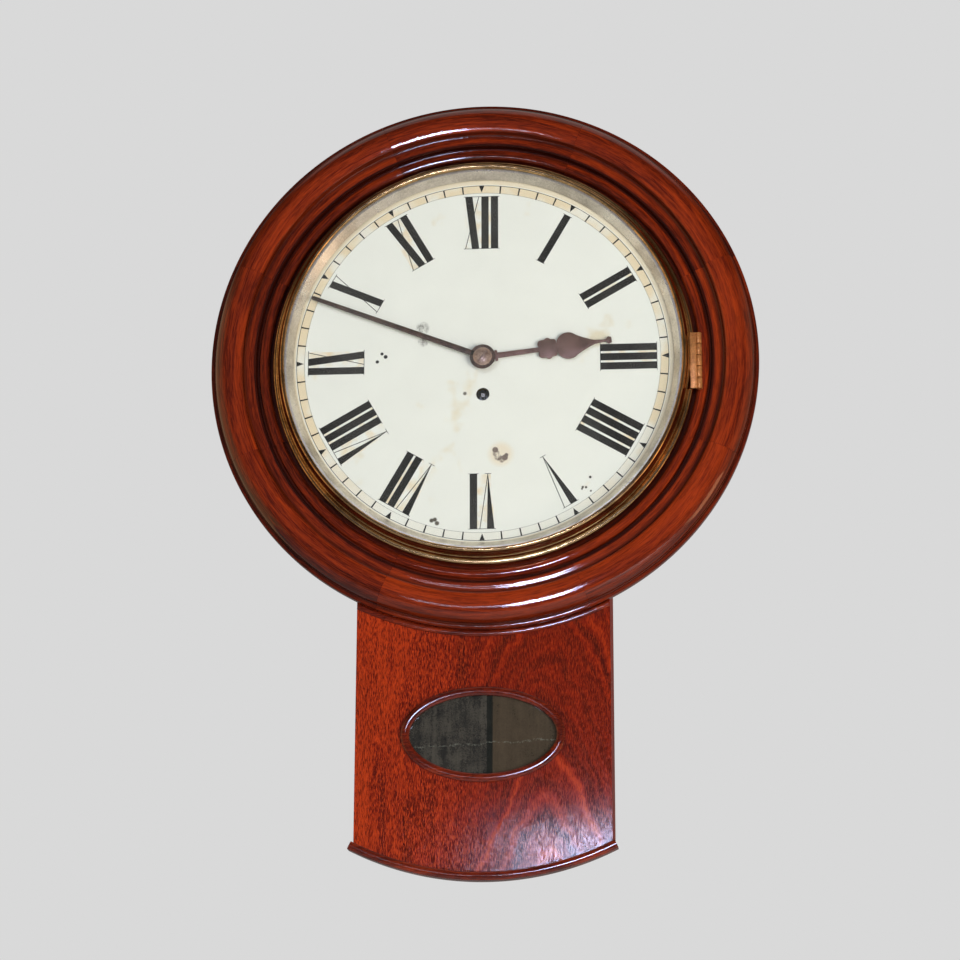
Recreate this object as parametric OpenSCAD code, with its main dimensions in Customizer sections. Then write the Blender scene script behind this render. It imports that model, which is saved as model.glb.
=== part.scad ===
// Drop dial wall clock: round turned surround on a drop trunk, eight-day spring timepiece.
// Every piece is drawn as seen from the front: x to the right, y up from the dial centre,
// z out from the wall. front_view() turns that into the part's own frame, with z up.

/* [Case] */
// Width of the case and its trunk
case_w = 194; // [180:1:210]
// Wall to the front of the trunk
case_d = 108; // [104:1:120]
// Thickness of the side boards
side_t = 12; // [9:0.5:14]
// Thickness of the back board
back_t = 10; // [8:0.5:11]
// Thickness of the trunk front
front_t = 9; // [7:0.5:11]
// Top of the case above the dial centre
case_top = 150; // [142:1:165]
// Foot of the side boards below the dial centre
foot_drop = 376; // [372:1:390]
// How far the foot rises from the trunk front to the wall
foot_rise = 10; // [6:1:14]
// Thickness of the bottom board
bottom_t = 6; // [5:0.5:7]
// Play round each door
door_play = 1; // [0.8:0.1:1.5]

/* [Trunk front] */
// Radius of the curved foot of the trunk front
foot_r = 220; // [215:1:235]
// Thickness of the bead under the foot
foot_bead_t = 6.4; // [5:0.2:8]
// How far the foot bead stands out at the front and the ends
foot_bead_lip = 4.3; // [3:0.1:6]
// Half width of the window
window_a = 56; // [48:1:60]
// Half height of the window
window_b = 30; // [24:1:32]
// Window centre below the dial centre
window_drop = 295; // [288:1:300]
// Width of the bead round the window
window_bead_w = 6.6; // [5:0.2:8]
// Thickness of the window glass
window_glass_t = 2; // [1.5:0.1:3]

/* [Surround] */
// Outside radius of the surround
surround_r = 215; // [210:1:220]
// Height of the crest over the back of the surround
crest_h = 18.5; // [16:0.5:22]
// Width of the surround from its rim to the bezel
ring_w = 49.5; // [48:0.5:52]
// Width of the seat behind the dial
seat_w = 18.2; // [14:0.2:22]
// Gap between the bezel and the bead round it
channel_play = 4.7; // [4.5:0.1:5.5]
// Number of segments glued up for the ring
segments = 8; // [6:1:12]
// Radius of the pegs that hold the surround on the case
peg_r = 4; // [3:0.25:5]

/* [Dial and bezel] */
// Thickness of the dial plate
dial_t = 1; // [0.8:0.1:1.5]
// Height of the dial seat over the back of the surround
dial_seat = 10; // [9:0.25:11]
// Radius of the winding hole
winding_hole_r = 6.3; // [5.5:0.1:7]
// Width of the bezel from its outside to its sight edge
bezel_w = 10.5; // [10:0.25:11.5]
// Width of the silvered ring inside the sight edge
silver_w = 6.2; // [5:0.1:7.5]
// Thickness of the bezel glass
glass_t = 1.6; // [1.2:0.1:1.8]

/* [Hands] */
// How far the minute hand ends inside the silvered ring
minute_short = 4.3; // [2:0.1:12]
// Width of the minute hand at its boss
minute_w = 4.3; // [3.5:0.1:5.5]
// Radius of the minute hand boss
boss_r = 9.2; // [7:0.1:10]
// Length of the hour hand over that of the minute hand
hour_share = 0.708; // [0.68:0.002:0.73]
// Half width of the spade on the hour hand
spade_w = 10.8; // [9:0.2:12]
// Thickness of both hands
hand_t = 1; // [0.6:0.1:1.1]
// Minutes past the hour that the hands show
show_minutes = 48.5; // [0:0.5:59.5]
// Hour that the hands show
show_hour = 2; // [0:1:11]

/* [Movement] */
// Width of the plates
plate_w = 104; // [100:1:116]
// Height of the plates above and below the centre
plate_h = 62; // [60:1:66]
// Thickness of the plates
plate_t = 3; // [2.5:0.25:3.5]
// Distance between the plates
plate_gap = 40; // [40:0.5:41]
// Dial centre to winding square
winding_drop = 29.2; // [28.8:0.1:30]
// Radius of the spring barrel
barrel_r = 22.4; // [21:0.2:23]
// Radius of the escape wheel
escape_r = 13.5; // [12:0.25:14]
// Half angle that the anchor spans
anchor_span = 45; // [42:1:48]

/* [Pendulum] */
// Bob centre below the dial centre
bob_drop = 336; // [330:1:337]
// Radius of the bob
bob_r = 20; // [17:0.5:20.5]
// Thickness of the bob
bob_t = 14; // [10:0.5:15]
// Width of the pendulum rod
rod_w = 6; // [5:0.25:7]
// Thickness of the pendulum rod
rod_t = 2.5; // [2:0.1:3]

/* [Hidden] */
$fn = 96;

// Fits
run = 0.05;
seat = 0.3;
eps = 0.01;

// Case
half_w = case_w / 2;
inner_w = half_w - side_t;
board_z = case_d - front_t;
front_top = -150;
foot_angle = atan(foot_rise / board_z);
arc_y = sqrt(pow(foot_r, 2) - pow(half_w, 2)) - foot_drop;
foot_half = asin((half_w + foot_bead_lip) / (foot_r + foot_bead_t));
door_z0 = back_t + 14;
door_z1 = case_d - 16;
door_y0 = -70;
door_y1 = 60;
door_t = 8;
hatch_x = 50;
hatch_z0 = -74;
hatch_z1 = -16;
leaf_t = 0.8;
leaf_w = 8;
hinge_r = 1.8;
hinge_pin_r = 0.8;
hinge_len = 24;
side_hinge_y = [-48, 38];
hatch_hinge_x = [-30, 30];

// Surround, radii and heights over its back
bezel_r = surround_r - ring_w;
seat_r = bezel_r - 7.3;
opening_r = seat_r - seat_w;
bead_r = bezel_r + channel_play;
groove_r = bead_r + 7.8;
groove_w = 2.8;
groove_h = 6.6;
bead_h = 9;
bead_out = groove_r - 0.6;
bead_round = (bead_out - bead_r) / 2;
channel_h = 3.5;
segment_start = 22.5;
segment_joint = 0.02;
lug_w = 15;
lug_h = 34;
lug_d = 34;
lug_y = 117;
neck_bead_r = 2.1;

// Bezel, heights over the back of the surround
bezel_back = 5;
bezel_in = bezel_r - 4.5;
sight_r = bezel_r - bezel_w;
silver_r = sight_r - silver_w;
dial_r = seat_r - 1;
glass_back = 19.5;
recess_r = bezel_r - 7.2;
silver_t = 0.8;
hinge_x = bezel_r + 2.5;
hinge_h = 11.5;
hinge_y = -5.6;
bezel_knuckle_r = 2.2;
knuckle_end = 14.2;
knuckle_mid = 17.6;
knuckle_play = 0.3;

// Movement, heights over the wall
dial_back = case_d + dial_seat;
dial_front = dial_back + dial_t;
plate_z = dial_back - 22;
front_in = plate_z - plate_t;
back_in = front_in - plate_gap;
back_out = back_in - plate_t;
pillar_x = 44;
pillar_y = 54;
pillar_r = 4;
pillar_end_r = 2.5;
foot_x = 46;
foot_y = 38;
pin_r = 0.7;
pin_len = 9;
pivot_r = 0.8;
arbor_r = 1.5;

// Train: modules, tooth counts and heights over the back plate
great_m = 0.65;
great_n = 76;
inter_leaves = 10;
inter_m = 0.5;
inter_n = 80;
centre_leaves = 10;
centre_m = 0.5;
centre_n = 78;
third_leaves = 8;
third_m = 0.42;
third_n = 80;
escape_leaves = 8;
escape_n = 30;
cannon_m = 0.45;
cannon_n = 20;
minute_n = 60;
hour_m = 0.48;
minute_leaves = 15;
hour_n = 60;
depth_play = 0.05;
escape_z = back_in + 6;
third_z = back_in + 13;
great_z = back_in + 25;
inter_z = back_in + 30;
centre_z = back_in + 34.5;
great_t = 2.5;
wheel_t = 1.6;
drum_z = back_in + 3;
barrel_wall = 1.4;
drum_arbor_r = 3;
winding_pivot_r = 2.2;
square_w = 3.1;

function pitch_sum(m, a, b) = m * (a + b) / 2 + depth_play;
// Crossing point of two circles, to the left of the line between their centres
function crossing(p, a, q, b) = let (d = norm(q - p), t = (a * a - b * b + d * d) / (2 * d),
    h = sqrt(a * a - t * t), u = (q - p) / d) p + t * u + h * [-u[1], u[0]];

centre_at = [0, 0];
barrel_at = [0, -winding_drop];
inter_at = crossing(barrel_at, pitch_sum(great_m, great_n, inter_leaves), centre_at,
    pitch_sum(inter_m, inter_n, centre_leaves));
third_at = pitch_sum(centre_m, centre_n, third_leaves) * [0.6047, 0.7965];
escape_at = [0, third_at[1] + sqrt(pow(pitch_sum(third_m, third_n, escape_leaves), 2)
    - pow(third_at[0], 2))];
anchor_at = [0, escape_at[1] + escape_r / cos(anchor_span)];
minute_at = pitch_sum(cannon_m, cannon_n, minute_n) * [-cos(45), sin(45)];
arbors = [inter_at, centre_at, third_at, escape_at, anchor_at];

// Motion work, heights over the front plate
cannon_gear_z = plate_z + 2;
bridge_z = plate_z + 5.6;
hour_gear_z = plate_z + 7.6;
cannon_pipe_r = 2.1;
bridge_pipe_in = 2.2;
bridge_pipe_r = 2.7;
hour_pipe_in = 2.78;
hour_pipe_r = 3.6;
bridge_reach = 26;
bridge_turn = 10;
hour_hand_z = dial_front + 1.9;
minute_hand_z = hour_hand_z + 2.6;
screw_dome = 1.7;
ratchet_r = 10.5;
ratchet_n = 24;
ratchet_t = 2;
ratchet_z = plate_z + 0.5;
click_at = [17.5, 8.8 - winding_drop];
click_tip = [11.3, -2 - winding_drop];
click_along = (click_tip - click_at) / norm(click_tip - click_at);
click_out = [-click_along[1], click_along[0]];

// Pendulum
cock_z = back_out - 15;
pendulum_z = cock_z - 6;
cock_t = 3;
blade_w = 10;
blade_t = 0.4;
slit = 1.8;
crutch_z = back_out - 6;
crutch_drop = 10;
nut_r = 5;
nut_t = 4;
thread_r = 1.25;

minute_len = silver_r - minute_short;
hour_len = minute_len * hour_share;
hour_angle = 30 * show_hour + show_minutes / 2;
minute_angle = 6 * show_minutes;

module front_view() rotate([90, 0, 0]) children();
module on_foot() translate([0, -foot_drop, board_z]) rotate([foot_angle, 0, 0]) children();
module at(p, z) translate([p[0], p[1], z]) children();
module disc(r, z, t) translate([0, 0, z]) cylinder(r = r, h = t);
module hole(p, r, z, t) at(p, z - eps) cylinder(r = r, h = t + 2 * eps);
module block(x0, x1, y0, y1, z0, z1) translate([x0, y0, z0]) cube([x1 - x0, y1 - y0, z1 - z0]);
module from_side(x) translate([x, 0, 0]) rotate([0, 90, 0]) children();
module turned() rotate_extrude() children();
function polar(r, a) = [r * cos(a), r * sin(a)];
function arc(c, r, a0, a1, n) = [for (i = [0:n]) c + polar(r, a0 + (a1 - a0) * i / n)];

// Outline of a wheel: radial flanks below the pitch circle and arched tips above it
function wheel_outline(m, n) = let (r = m * n / 2, p = 360 / n) [for (i = [0:n - 1]) each [
    polar(r - 1.5 * m, p * (i - 0.21)), polar(r, p * (i - 0.21)), polar(r + 0.75 * m, p * (i - 0.13)),
    polar(r + 1.25 * m, p * i), polar(r + 0.75 * m, p * (i + 0.13)), polar(r, p * (i + 0.21)),
    polar(r - 1.5 * m, p * (i + 0.21))]];
// Outline of a pinion: slim leaves with radial flanks and round ends
function pinion_outline(m, n) = let (r = m * n / 2, p = 360 / n) [for (i = [0:n - 1]) each [
    polar(r - 1.6 * m, p * (i + 0.33)), polar(r, p * (i + 0.33)), polar(r + 0.4 * m, p * (i + 0.4)),
    polar(r + 0.55 * m, p * (i + 0.5)), polar(r + 0.4 * m, p * (i + 0.6)), polar(r, p * (i + 0.67)),
    polar(r - 1.6 * m, p * (i + 0.67))]];
// Outline of a gear that meshes with one of like size of tooth
function gear_outline(m, n, shift) = let (r = m * n / 2, p = 360 / n) [for (i = [0:n - 1]) each [
    polar(r - 1.25 * m, p * (i + shift - 0.29)), polar(r, p * (i + shift - 0.21)),
    polar(r + 0.85 * m, p * (i + shift - 0.09)), polar(r + 0.85 * m, p * (i + shift + 0.09)),
    polar(r, p * (i + shift + 0.21)), polar(r - 1.25 * m, p * (i + shift + 0.29))]];
function ratchet_outline(r, n) = [for (i = [0:n - 1]) each [polar(r, 360 * i / n),
    polar(r - 1.3, 360 * i / n + 1)]];
function escape_outline(r, n) = [for (i = [0:n - 1]) each [polar(r - 3, 360 * (i - 0.35) / n),
    polar(r - 1.4, 360 * (i - 0.12) / n), polar(r, 360 * i / n), polar(r - 3, 360 * (i + 0.08) / n)]];

// Spoked wheel blank: rim, arms and hub left standing
module crossed(rim, hub, arms, arm_w) {
    difference() {
        children();
        difference() {
            circle(r = rim);
            circle(r = hub);
            for (i = [0:arms - 1]) rotate(360 * i / arms) translate([0, -arm_w / 2]) square([rim, arm_w]);
        }
    }
}
module extruded(z, t) translate([0, 0, z]) linear_extrude(t) children();
// Steel arbor between the plates with a pivot at each end
module arbor(r) {
    disc(pivot_r, back_out + 0.2, plate_t + plate_gap + plate_t - 0.4);
    disc(r, back_in + 0.3, plate_gap - 0.6);
}

// Butt hinge lying on a surface: knuckle along z, the fixed leaf to the left
module hinge_plate(len) {
    difference() {
        union() {
            block(-leaf_w, -0.4, 0, leaf_t, -len / 2, len / 2);
            for (s = [-1, 1]) {
                translate([0, hinge_r, s * len / 3 - len / 6]) cylinder(r = hinge_r, h = len / 3);
                block(-hinge_r, 0, 0, hinge_r, s * len / 3 - len / 6, s * len / 3 + len / 6);
            }
        }
        block(-hinge_r - 0.3, hinge_r + 0.3, -eps, 2 * hinge_r + eps, -len / 6, len / 6);
    }
    translate([0, hinge_r, -len / 2]) cylinder(r = hinge_pin_r, h = len);
}
module hinge_wing(len) {
    span = len / 3 - 2 * knuckle_play;
    difference() {
        union() {
            block(hinge_r + 0.4, leaf_w, 0, leaf_t, -len / 2, len / 2);
            block(0, hinge_r + 1, 0, leaf_t, -span / 2, span / 2);
            translate([0, hinge_r, -span / 2]) cylinder(r = hinge_r, h = span);
        }
        translate([0, hinge_r, -len / 2]) cylinder(r = hinge_pin_r + run, h = len);
    }
}
module on_side_hinges() {
    for (y = side_hinge_y) translate([half_w, y, door_z0]) rotate([-90, -90, 0]) children();
}
module on_hatch_hinges() {
    on_foot() for (x = hatch_hinge_x) translate([x, 0, hatch_z0]) rotate([180, -90, 0]) children();
}

// Case
module back_board() {
    color("saddlebrown") front_view() difference() {
        block(-half_w, half_w, -foot_drop + foot_rise + 1, case_top, 0, back_t);
        hanging_outline(seat, -eps, plate_recess + eps);
        for (p = plate_screws) hole([p[0], p[1]], screw_r + run, 0, back_t);
    }
}
module side_outline() {
    polygon([[-back_t, case_top], [-case_d, case_top], [-case_d, front_top], [-board_z, front_top],
        [-board_z, -foot_drop], [-back_t, -foot_drop + foot_rise * (1 - back_t / board_z)]]);
}
module side_board(x) {
    difference() {
        from_side(x) linear_extrude(side_t) side_outline();
        for (y = [-lug_y, lug_y]) translate([x - 1, y, case_d - lug_d / 2]) rotate([0, 90, 0])
            cylinder(r = peg_r + run, h = side_t + 2);
    }
}
module side_left() {
    color("saddlebrown") front_view() side_board(-half_w);
}
module side_right() {
    color("saddlebrown") front_view() difference() {
        side_board(inner_w);
        block(inner_w - 1, half_w + 1, door_y0, door_y1, door_z0, door_z1);
    }
}
module top_board() {
    color("saddlebrown") front_view()
        block(-inner_w, inner_w, case_top - side_t, case_top, back_t, case_d);
}
module trunk_front() {
    color("firebrick") front_view() difference() {
        extruded(board_z, front_t) difference() {
            intersection() {
                translate([-half_w, -foot_drop - foot_r]) square([case_w, foot_drop + foot_r + front_top]);
                union() {
                    translate([0, arc_y]) circle(r = foot_r);
                    translate([-half_w, arc_y]) square([case_w, front_top - arc_y]);
                }
            }
            translate([0, -window_drop]) scale([window_a + 1, window_b + 1]) circle(r = 1);
        }
    }
}
module bottom_board() {
    color("saddlebrown") front_view() on_foot() difference() {
        block(-inner_w, inner_w, 0, bottom_t, (back_t + 1 - board_z) / cos(foot_angle), -0.8);
        block(-hatch_x, hatch_x, -1, bottom_t + 1, hatch_z0, hatch_z1);
    }
}

plate_recess = 2;
hang_y = 170;
hang_r = 20;
hang_hole_r = 5;
plate_foot = 108;
screw_r = 1.5;
screw_head_r = 3;
screw_head_h = 1.6;
plate_screws = [[-12, 118], [12, 118], [0, 136]];
dial_screw_r = dial_r - 4.6;

module hanging_outline(play, z, t) {
    extruded(z, t) {
        translate([0, hang_y]) circle(r = hang_r + play);
        translate([-hang_r - play, plate_foot - play]) square([2 * (hang_r + play), hang_y - plate_foot]);
    }
}
module hanging_plate() {
    color("dimgray") front_view() difference() {
        hanging_outline(0, 0, plate_recess);
        hole([0, hang_y], hang_hole_r, 0, plate_recess);
        for (p = plate_screws) hole(p, screw_r + run, 0, plate_recess);
    }
}
module wood_screws() {
    color("lightgray") front_view() {
        for (a = [45:90:315]) at(polar(dial_screw_r, a), dial_front) round_screw();
        for (p = plate_screws) at(p, plate_recess) rotate([180, 0, 0]) mirror([0, 0, 1]) countersunk_screw();
    }
}
// Round-headed screw with its slot, head up from z = 0
module round_screw() {
    difference() {
        union() {
            rotate_extrude() polygon(concat([[0, 0], [screw_head_r, 0]], arc([0, -1.9], 3.55, 32, 90, 6)));
            translate([0, 0, -7]) cylinder(r = screw_r, h = 7);
        }
        translate([-screw_head_r - 1, -0.3, screw_head_h - 0.7]) cube([2 * screw_head_r + 2, 0.6, 2]);
    }
}
// Flat-headed screw let in flush with the back of the hanging plate
module countersunk_screw() {
    translate([0, 0, -plate_recess + 0.1]) difference() {
        cylinder(r = screw_r, h = plate_recess + 5);
        translate([-screw_r - 1, -0.3, -eps]) cube([2 * screw_r + 2, 0.6, 0.6]);
    }
}

// Surround
function surround_section() = concat(
    [[opening_r, 0], [surround_r - 1, 0], [surround_r, 1], [surround_r, 5.2]],
    arc([surround_r - 2.2, 5.2], 2.2, 0, 90, 4),
    [[surround_r - 3.6, 7.4], [surround_r - 3.8, 8.4]],
    arc([surround_r - 15.2, crest_h - 12], 12, 10, 90, 8),
    [[surround_r - 17.6, crest_h]],
    arc([surround_r - 17.6, crest_h - 3.2], 3.2, 90, 128, 3),
    arc([surround_r - 24.2, crest_h + 0.3], 8.4, 312, 262, 6),
    [[surround_r - 29.2, 9.2], [groove_r + groove_w + 4.4, 9.3], [groove_r + groove_w + 3.2, 10.4]],
    [[groove_r + groove_w + 0.6, 10.4], [groove_r + groove_w, 9.8], [groove_r + groove_w, groove_h],
    [bead_out, groove_h]],
    arc([(bead_out + bead_r) / 2, bead_h - bead_round], bead_round, 20, 160, 7),
    [[bead_r, bead_h - bead_round], [bead_r, channel_h], [seat_r, channel_h], [seat_r, dial_seat],
    [opening_r, dial_seat]]);
module surround() {
    step = 360 / segments;
    color("brown") front_view() translate([0, 0, case_d]) {
        for (i = [0:segments - 1]) rotate(90 - segment_start - (i + 1) * step) difference() {
            rotate_extrude(angle = step - segment_joint) polygon(surround_section());
            rotate(-90 + segment_start + (i + 1) * step) {
                for (a = [45:90:315]) hole(polar(dial_screw_r, a), screw_r + run, dial_seat - 8, 9);
                block(-bezel_r - 0.7, -bezel_in + 1.6, -5.2, 5.2, 0.8, channel_h + 1);
            }
        }
    }
}
module surround_lugs() {
    color("saddlebrown") front_view() for (s = [-1, 1], y = [-lug_y, lug_y]) difference() {
        block(s > 0 ? half_w : -half_w - lug_w, s > 0 ? half_w + lug_w : -half_w,
            y - lug_h / 2, y + lug_h / 2, case_d - lug_d, case_d);
        translate([s > 0 ? half_w - 1 : -half_w - lug_w - 1, y, case_d - lug_d / 2]) rotate([0, 90, 0])
            cylinder(r = peg_r + run, h = lug_w + 2);
    }
}
module surround_pegs() {
    color("peru") front_view() for (s = [-1, 1], y = [-lug_y, lug_y])
        translate([s * (inner_w - 4), y, case_d - lug_d / 2]) rotate([0, 90 * s, 0]) {
            cylinder(r = peg_r, h = side_t + lug_w + 4);
            translate([0, 0, side_t + lug_w + 4]) cylinder(r1 = peg_r, r2 = peg_r + 1.5, h = 12);
        }
}
module neck_bead() {
    r = surround_r + neck_bead_r + 0.3;
    half = asin(half_w / (r + neck_bead_r));
    color("brown") front_view() translate([0, 0, case_d]) rotate(270 - half)
        rotate_extrude(angle = 2 * half) translate([r, 0]) intersection() {
            circle(r = neck_bead_r);
            translate([-neck_bead_r, 0]) square([2 * neck_bead_r, neck_bead_r]);
        }
}

// Bead swept round an oval: half-round section on a flat back
function oval(a, b, t) = [a * cos(t), b * sin(t)];
function oval_out(a, b, t) = let (v = [b * cos(t), a * sin(t)]) v / norm(v);
module window_bead() {
    steps = 72;
    ribs = 6;
    r = window_bead_w / 2;
    a = window_a - 0.2 + r;
    b = window_b - 0.2 + r;
    points = [for (i = [0:steps - 1], j = [0:ribs]) let (t = 360 * i / steps, o = oval_out(a, b, t),
        c = oval(a, b, t)) [c[0] + o[0] * r * cos(180 * j / ribs), c[1] + o[1] * r * cos(180 * j / ribs),
        0.9 * r * sin(180 * j / ribs)]];
    side = ribs + 1;
    faces = [for (i = [0:steps - 1], j = [0:ribs]) let (k = (i + 1) % steps, l = (j + 1) % side) each [
        [i * side + j, i * side + l, k * side + l], [i * side + j, k * side + l, k * side + j]]];
    color("brown") front_view() translate([0, -window_drop, case_d]) polyhedron(points, faces);
}
module window_glass() {
    color("dimgray") front_view() extruded(case_d - 0.5 - window_glass_t, window_glass_t)
        translate([0, -window_drop]) scale([window_a + 0.7, window_b + 0.7]) circle(r = 1);
}
module foot_bead() {
    color("brown") front_view() translate([0, arc_y, 0]) rotate(270 - foot_half)
        rotate_extrude(angle = 2 * foot_half) {
            translate([foot_r, board_z]) square([foot_bead_t, front_t + foot_bead_lip - foot_bead_t / 2]);
            translate([foot_r + foot_bead_t / 2, case_d + foot_bead_lip - foot_bead_t / 2])
                circle(r = foot_bead_t / 2);
        }
}

// Dial
module dial_plate() {
    color("ivory") front_view() difference() {
        disc(dial_r, dial_back, dial_t);
        hole([0, 0], 5.5, dial_back, dial_t);
        hole(barrel_at, winding_hole_r, dial_back, dial_t);
        for (a = [45:90:315]) hole(polar(dial_screw_r, a), screw_r + run, dial_back, dial_t);
    }
}
module dial_feet() {
    color("goldenrod") front_view() for (x = [-foot_x, foot_x], y = [-foot_y, foot_y]) difference() {
        union() {
            at([x, y], plate_z) cylinder(r = 2.8, h = dial_back - plate_z);
            at([x, y], front_in - 3) cylinder(r = 1.8, h = plate_t + 3);
        }
        pin_hole([x, y], front_in - 1);
    }
}
module pin_hole(p, z) at([p[0] - pin_len, p[1]], z) rotate([0, 90, 0])
    cylinder(r = pin_r + run, h = 2 * pin_len);
module taper_pins() {
    color("silver") front_view() {
        for (x = [-foot_x, foot_x], y = [-foot_y, foot_y]) at([x - pin_len / 2, y], front_in - 1)
            rotate([0, 90, 0]) cylinder(r = pin_r, h = pin_len);
        for (x = [-pillar_x, pillar_x], y = [-pillar_y, pillar_y]) at([x - pin_len / 2, y], plate_z + 1)
            rotate([0, 90, 0]) cylinder(r = pin_r, h = pin_len);
    }
}

// Doors
module side_door() {
    color("saddlebrown") front_view() difference() {
        block(half_w - door_t, half_w, door_y0 + door_play, door_y1 - door_play,
            door_z0 + door_play / 2, door_z1 - door_play);
        translate([half_w - door_t - 1, (door_y0 + door_y1) / 2, door_z1 - 10]) rotate([0, 90, 0])
            cylinder(r = 2 + run, h = door_t + 2);
    }
}
module side_door_knob() {
    color("goldenrod") front_view() translate([half_w, (door_y0 + door_y1) / 2, door_z1 - 10])
        rotate([0, 90, 0]) {
            translate([0, 0, -door_t]) cylinder(r = 2, h = door_t + 3);
            knob_head();
        }
}
module knob_head() {
    rotate_extrude() polygon(concat([[0, 0], [4, 0], [4, 0.8], [2.4, 1.6], [2.4, 3.4]],
        arc([0, 6.4], 4.2, -45, 80, 8), [[0, 10.6]]));
}
module door_hinge_plates() {
    color("goldenrod") front_view() {
        on_side_hinges() hinge_plate(hinge_len);
        on_hatch_hinges() hinge_plate(hinge_len);
    }
}
module side_door_wings() {
    color("goldenrod") front_view() on_side_hinges() hinge_wing(hinge_len);
}
module bottom_door() {
    color("saddlebrown") front_view() on_foot() difference() {
        block(-hatch_x + door_play, hatch_x - door_play, 0, bottom_t, hatch_z0 + door_play / 2,
            hatch_z1 - door_play);
        translate([0, -1, hatch_z1 - 10]) rotate([-90, 0, 0]) cylinder(r = 2 + run, h = bottom_t + 2);
    }
}
module bottom_door_wings() {
    color("goldenrod") front_view() on_hatch_hinges() hinge_wing(hinge_len);
}
module bottom_door_knob() {
    color("goldenrod") front_view() on_foot() translate([0, 0, hatch_z1 - 10]) rotate([90, 0, 0]) {
        translate([0, 0, -bottom_t]) cylinder(r = 2, h = bottom_t + 3);
        knob_head();
    }
}

// Bezel
function bezel_section() = concat(
    [[recess_r, 17.4], [bezel_in, 12], [bezel_in, bezel_back], [bezel_r, bezel_back], [bezel_r, 9]],
    arc([bezel_r - 1.9, 9.2], 1.9, 0, 100, 6),
    [[bezel_r - 3.3, 12], [bezel_r - 3.9, 13.6], [bezel_r - 4.4, 15.4], [bezel_r - 4.9, 15.8]],
    [[bezel_r - 5.1, 17.4], [bezel_r - 5.9, 19.6], [bezel_r - 7, 20.9]],
    arc([sight_r + 1.8, 21.5], 1.8, 0, 180, 8),
    [[sight_r, glass_back + glass_t + run], [recess_r, glass_back + glass_t + run]]);
module bezel_ring() {
    color("gold") front_view() translate([0, 0, case_d]) turned() polygon(bezel_section());
}
module bezel_glass() {
    color("lightblue", 0.3) front_view() disc(recess_r - 0.1, case_d + glass_back, glass_t);
}
module sight_ring() {
    color("silver") front_view() translate([0, 0, case_d]) turned() polygon([
        [recess_r - run, glass_back - run], [recess_r - run, glass_back - silver_t - run],
        [sight_r - 1, glass_back - silver_t - run], [silver_r + 0.7, 12.2], [silver_r, 12.5],
        [sight_r - 1.4, glass_back - run]]);
}
module on_bezel_hinge() translate([hinge_x, hinge_y, case_d + hinge_h]) rotate([-90, 0, 0]) children();
module bezel_hinge_plate() {
    half = knuckle_mid / 2 + knuckle_end;
    color("goldenrod") front_view() {
        on_bezel_hinge() {
            for (s = [-half, knuckle_mid / 2]) translate([0, 0, s])
                cylinder(r = bezel_knuckle_r, h = knuckle_end);
            translate([0, 0, -half]) cylinder(r = 1, h = 2 * half);
        }
        for (s = [-half, knuckle_mid / 2]) {
            block(hinge_x - 1.7, hinge_x - 0.6, hinge_y + s, hinge_y + s + knuckle_end, case_d + channel_h,
                case_d + hinge_h);
            block(bezel_in - 0.5, hinge_x - 0.6, hinge_y + s, hinge_y + s + knuckle_end, case_d + channel_h,
                case_d + channel_h + 1);
        }
    }
}
module bezel_hinge_wing() {
    span = knuckle_mid - 2 * knuckle_play;
    color("goldenrod") front_view() difference() {
        union() {
            on_bezel_hinge() translate([0, 0, -span / 2]) cylinder(r = bezel_knuckle_r, h = span);
            block(bezel_in + 0.5, hinge_x, hinge_y - span / 2, hinge_y + span / 2, case_d + hinge_h + 0.8,
                case_d + hinge_h + bezel_knuckle_r);
        }
        on_bezel_hinge() translate([0, 0, -span]) cylinder(r = 1 + run, h = 2 * span);
    }
}
module bezel_catch() {
    color("goldenrod") front_view() {
        block(-bezel_r + 0.5, -bezel_in - 0.2, -4, 4, case_d + bezel_back - 1, case_d + bezel_back);
        block(-bezel_r + 0.5, -bezel_r + 1.7, -4, 4, case_d + 1.4, case_d + bezel_back - 1);
    }
}

// Movement frame
module plate_blank(z) {
    block(-plate_w / 2, plate_w / 2, -plate_h, plate_h, z, z + plate_t);
}
module front_plate() {
    color("gold") front_view() {
        difference() {
            plate_blank(front_in);
            for (x = [-pillar_x, pillar_x], y = [-pillar_y, pillar_y])
                hole([x, y], pillar_end_r + run, front_in, plate_t);
            for (x = [-foot_x, foot_x], y = [-foot_y, foot_y]) hole([x, y], 1.8 + run, front_in, plate_t);
            for (p = [inter_at, third_at, escape_at, anchor_at]) hole(p, pivot_r + run, front_in, plate_t);
            hole(centre_at, arbor_r + run, front_in, plate_t);
            hole(barrel_at, winding_pivot_r + run, front_in, plate_t);
            hole(click_at, 1.2 + run, front_in, plate_t);
        }
        at(minute_at, plate_z - eps) cylinder(r = arbor_r, h = 10.6);
    }
}
module back_plate() {
    color("gold") front_view() difference() {
        plate_blank(back_out);
        for (x = [-pillar_x, pillar_x], y = [-pillar_y, pillar_y])
            hole([x, y], pillar_end_r + run, back_out, plate_t);
        for (p = [inter_at, centre_at, third_at, escape_at]) hole(p, pivot_r + run, back_out, plate_t);
        hole(anchor_at, 3, back_out, plate_t);
        hole(barrel_at, winding_pivot_r + run, back_out, plate_t);
        for (s = [-1, 1]) hole([16 * s, anchor_at[1]], screw_r + run, back_out, plate_t);
    }
}
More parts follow.
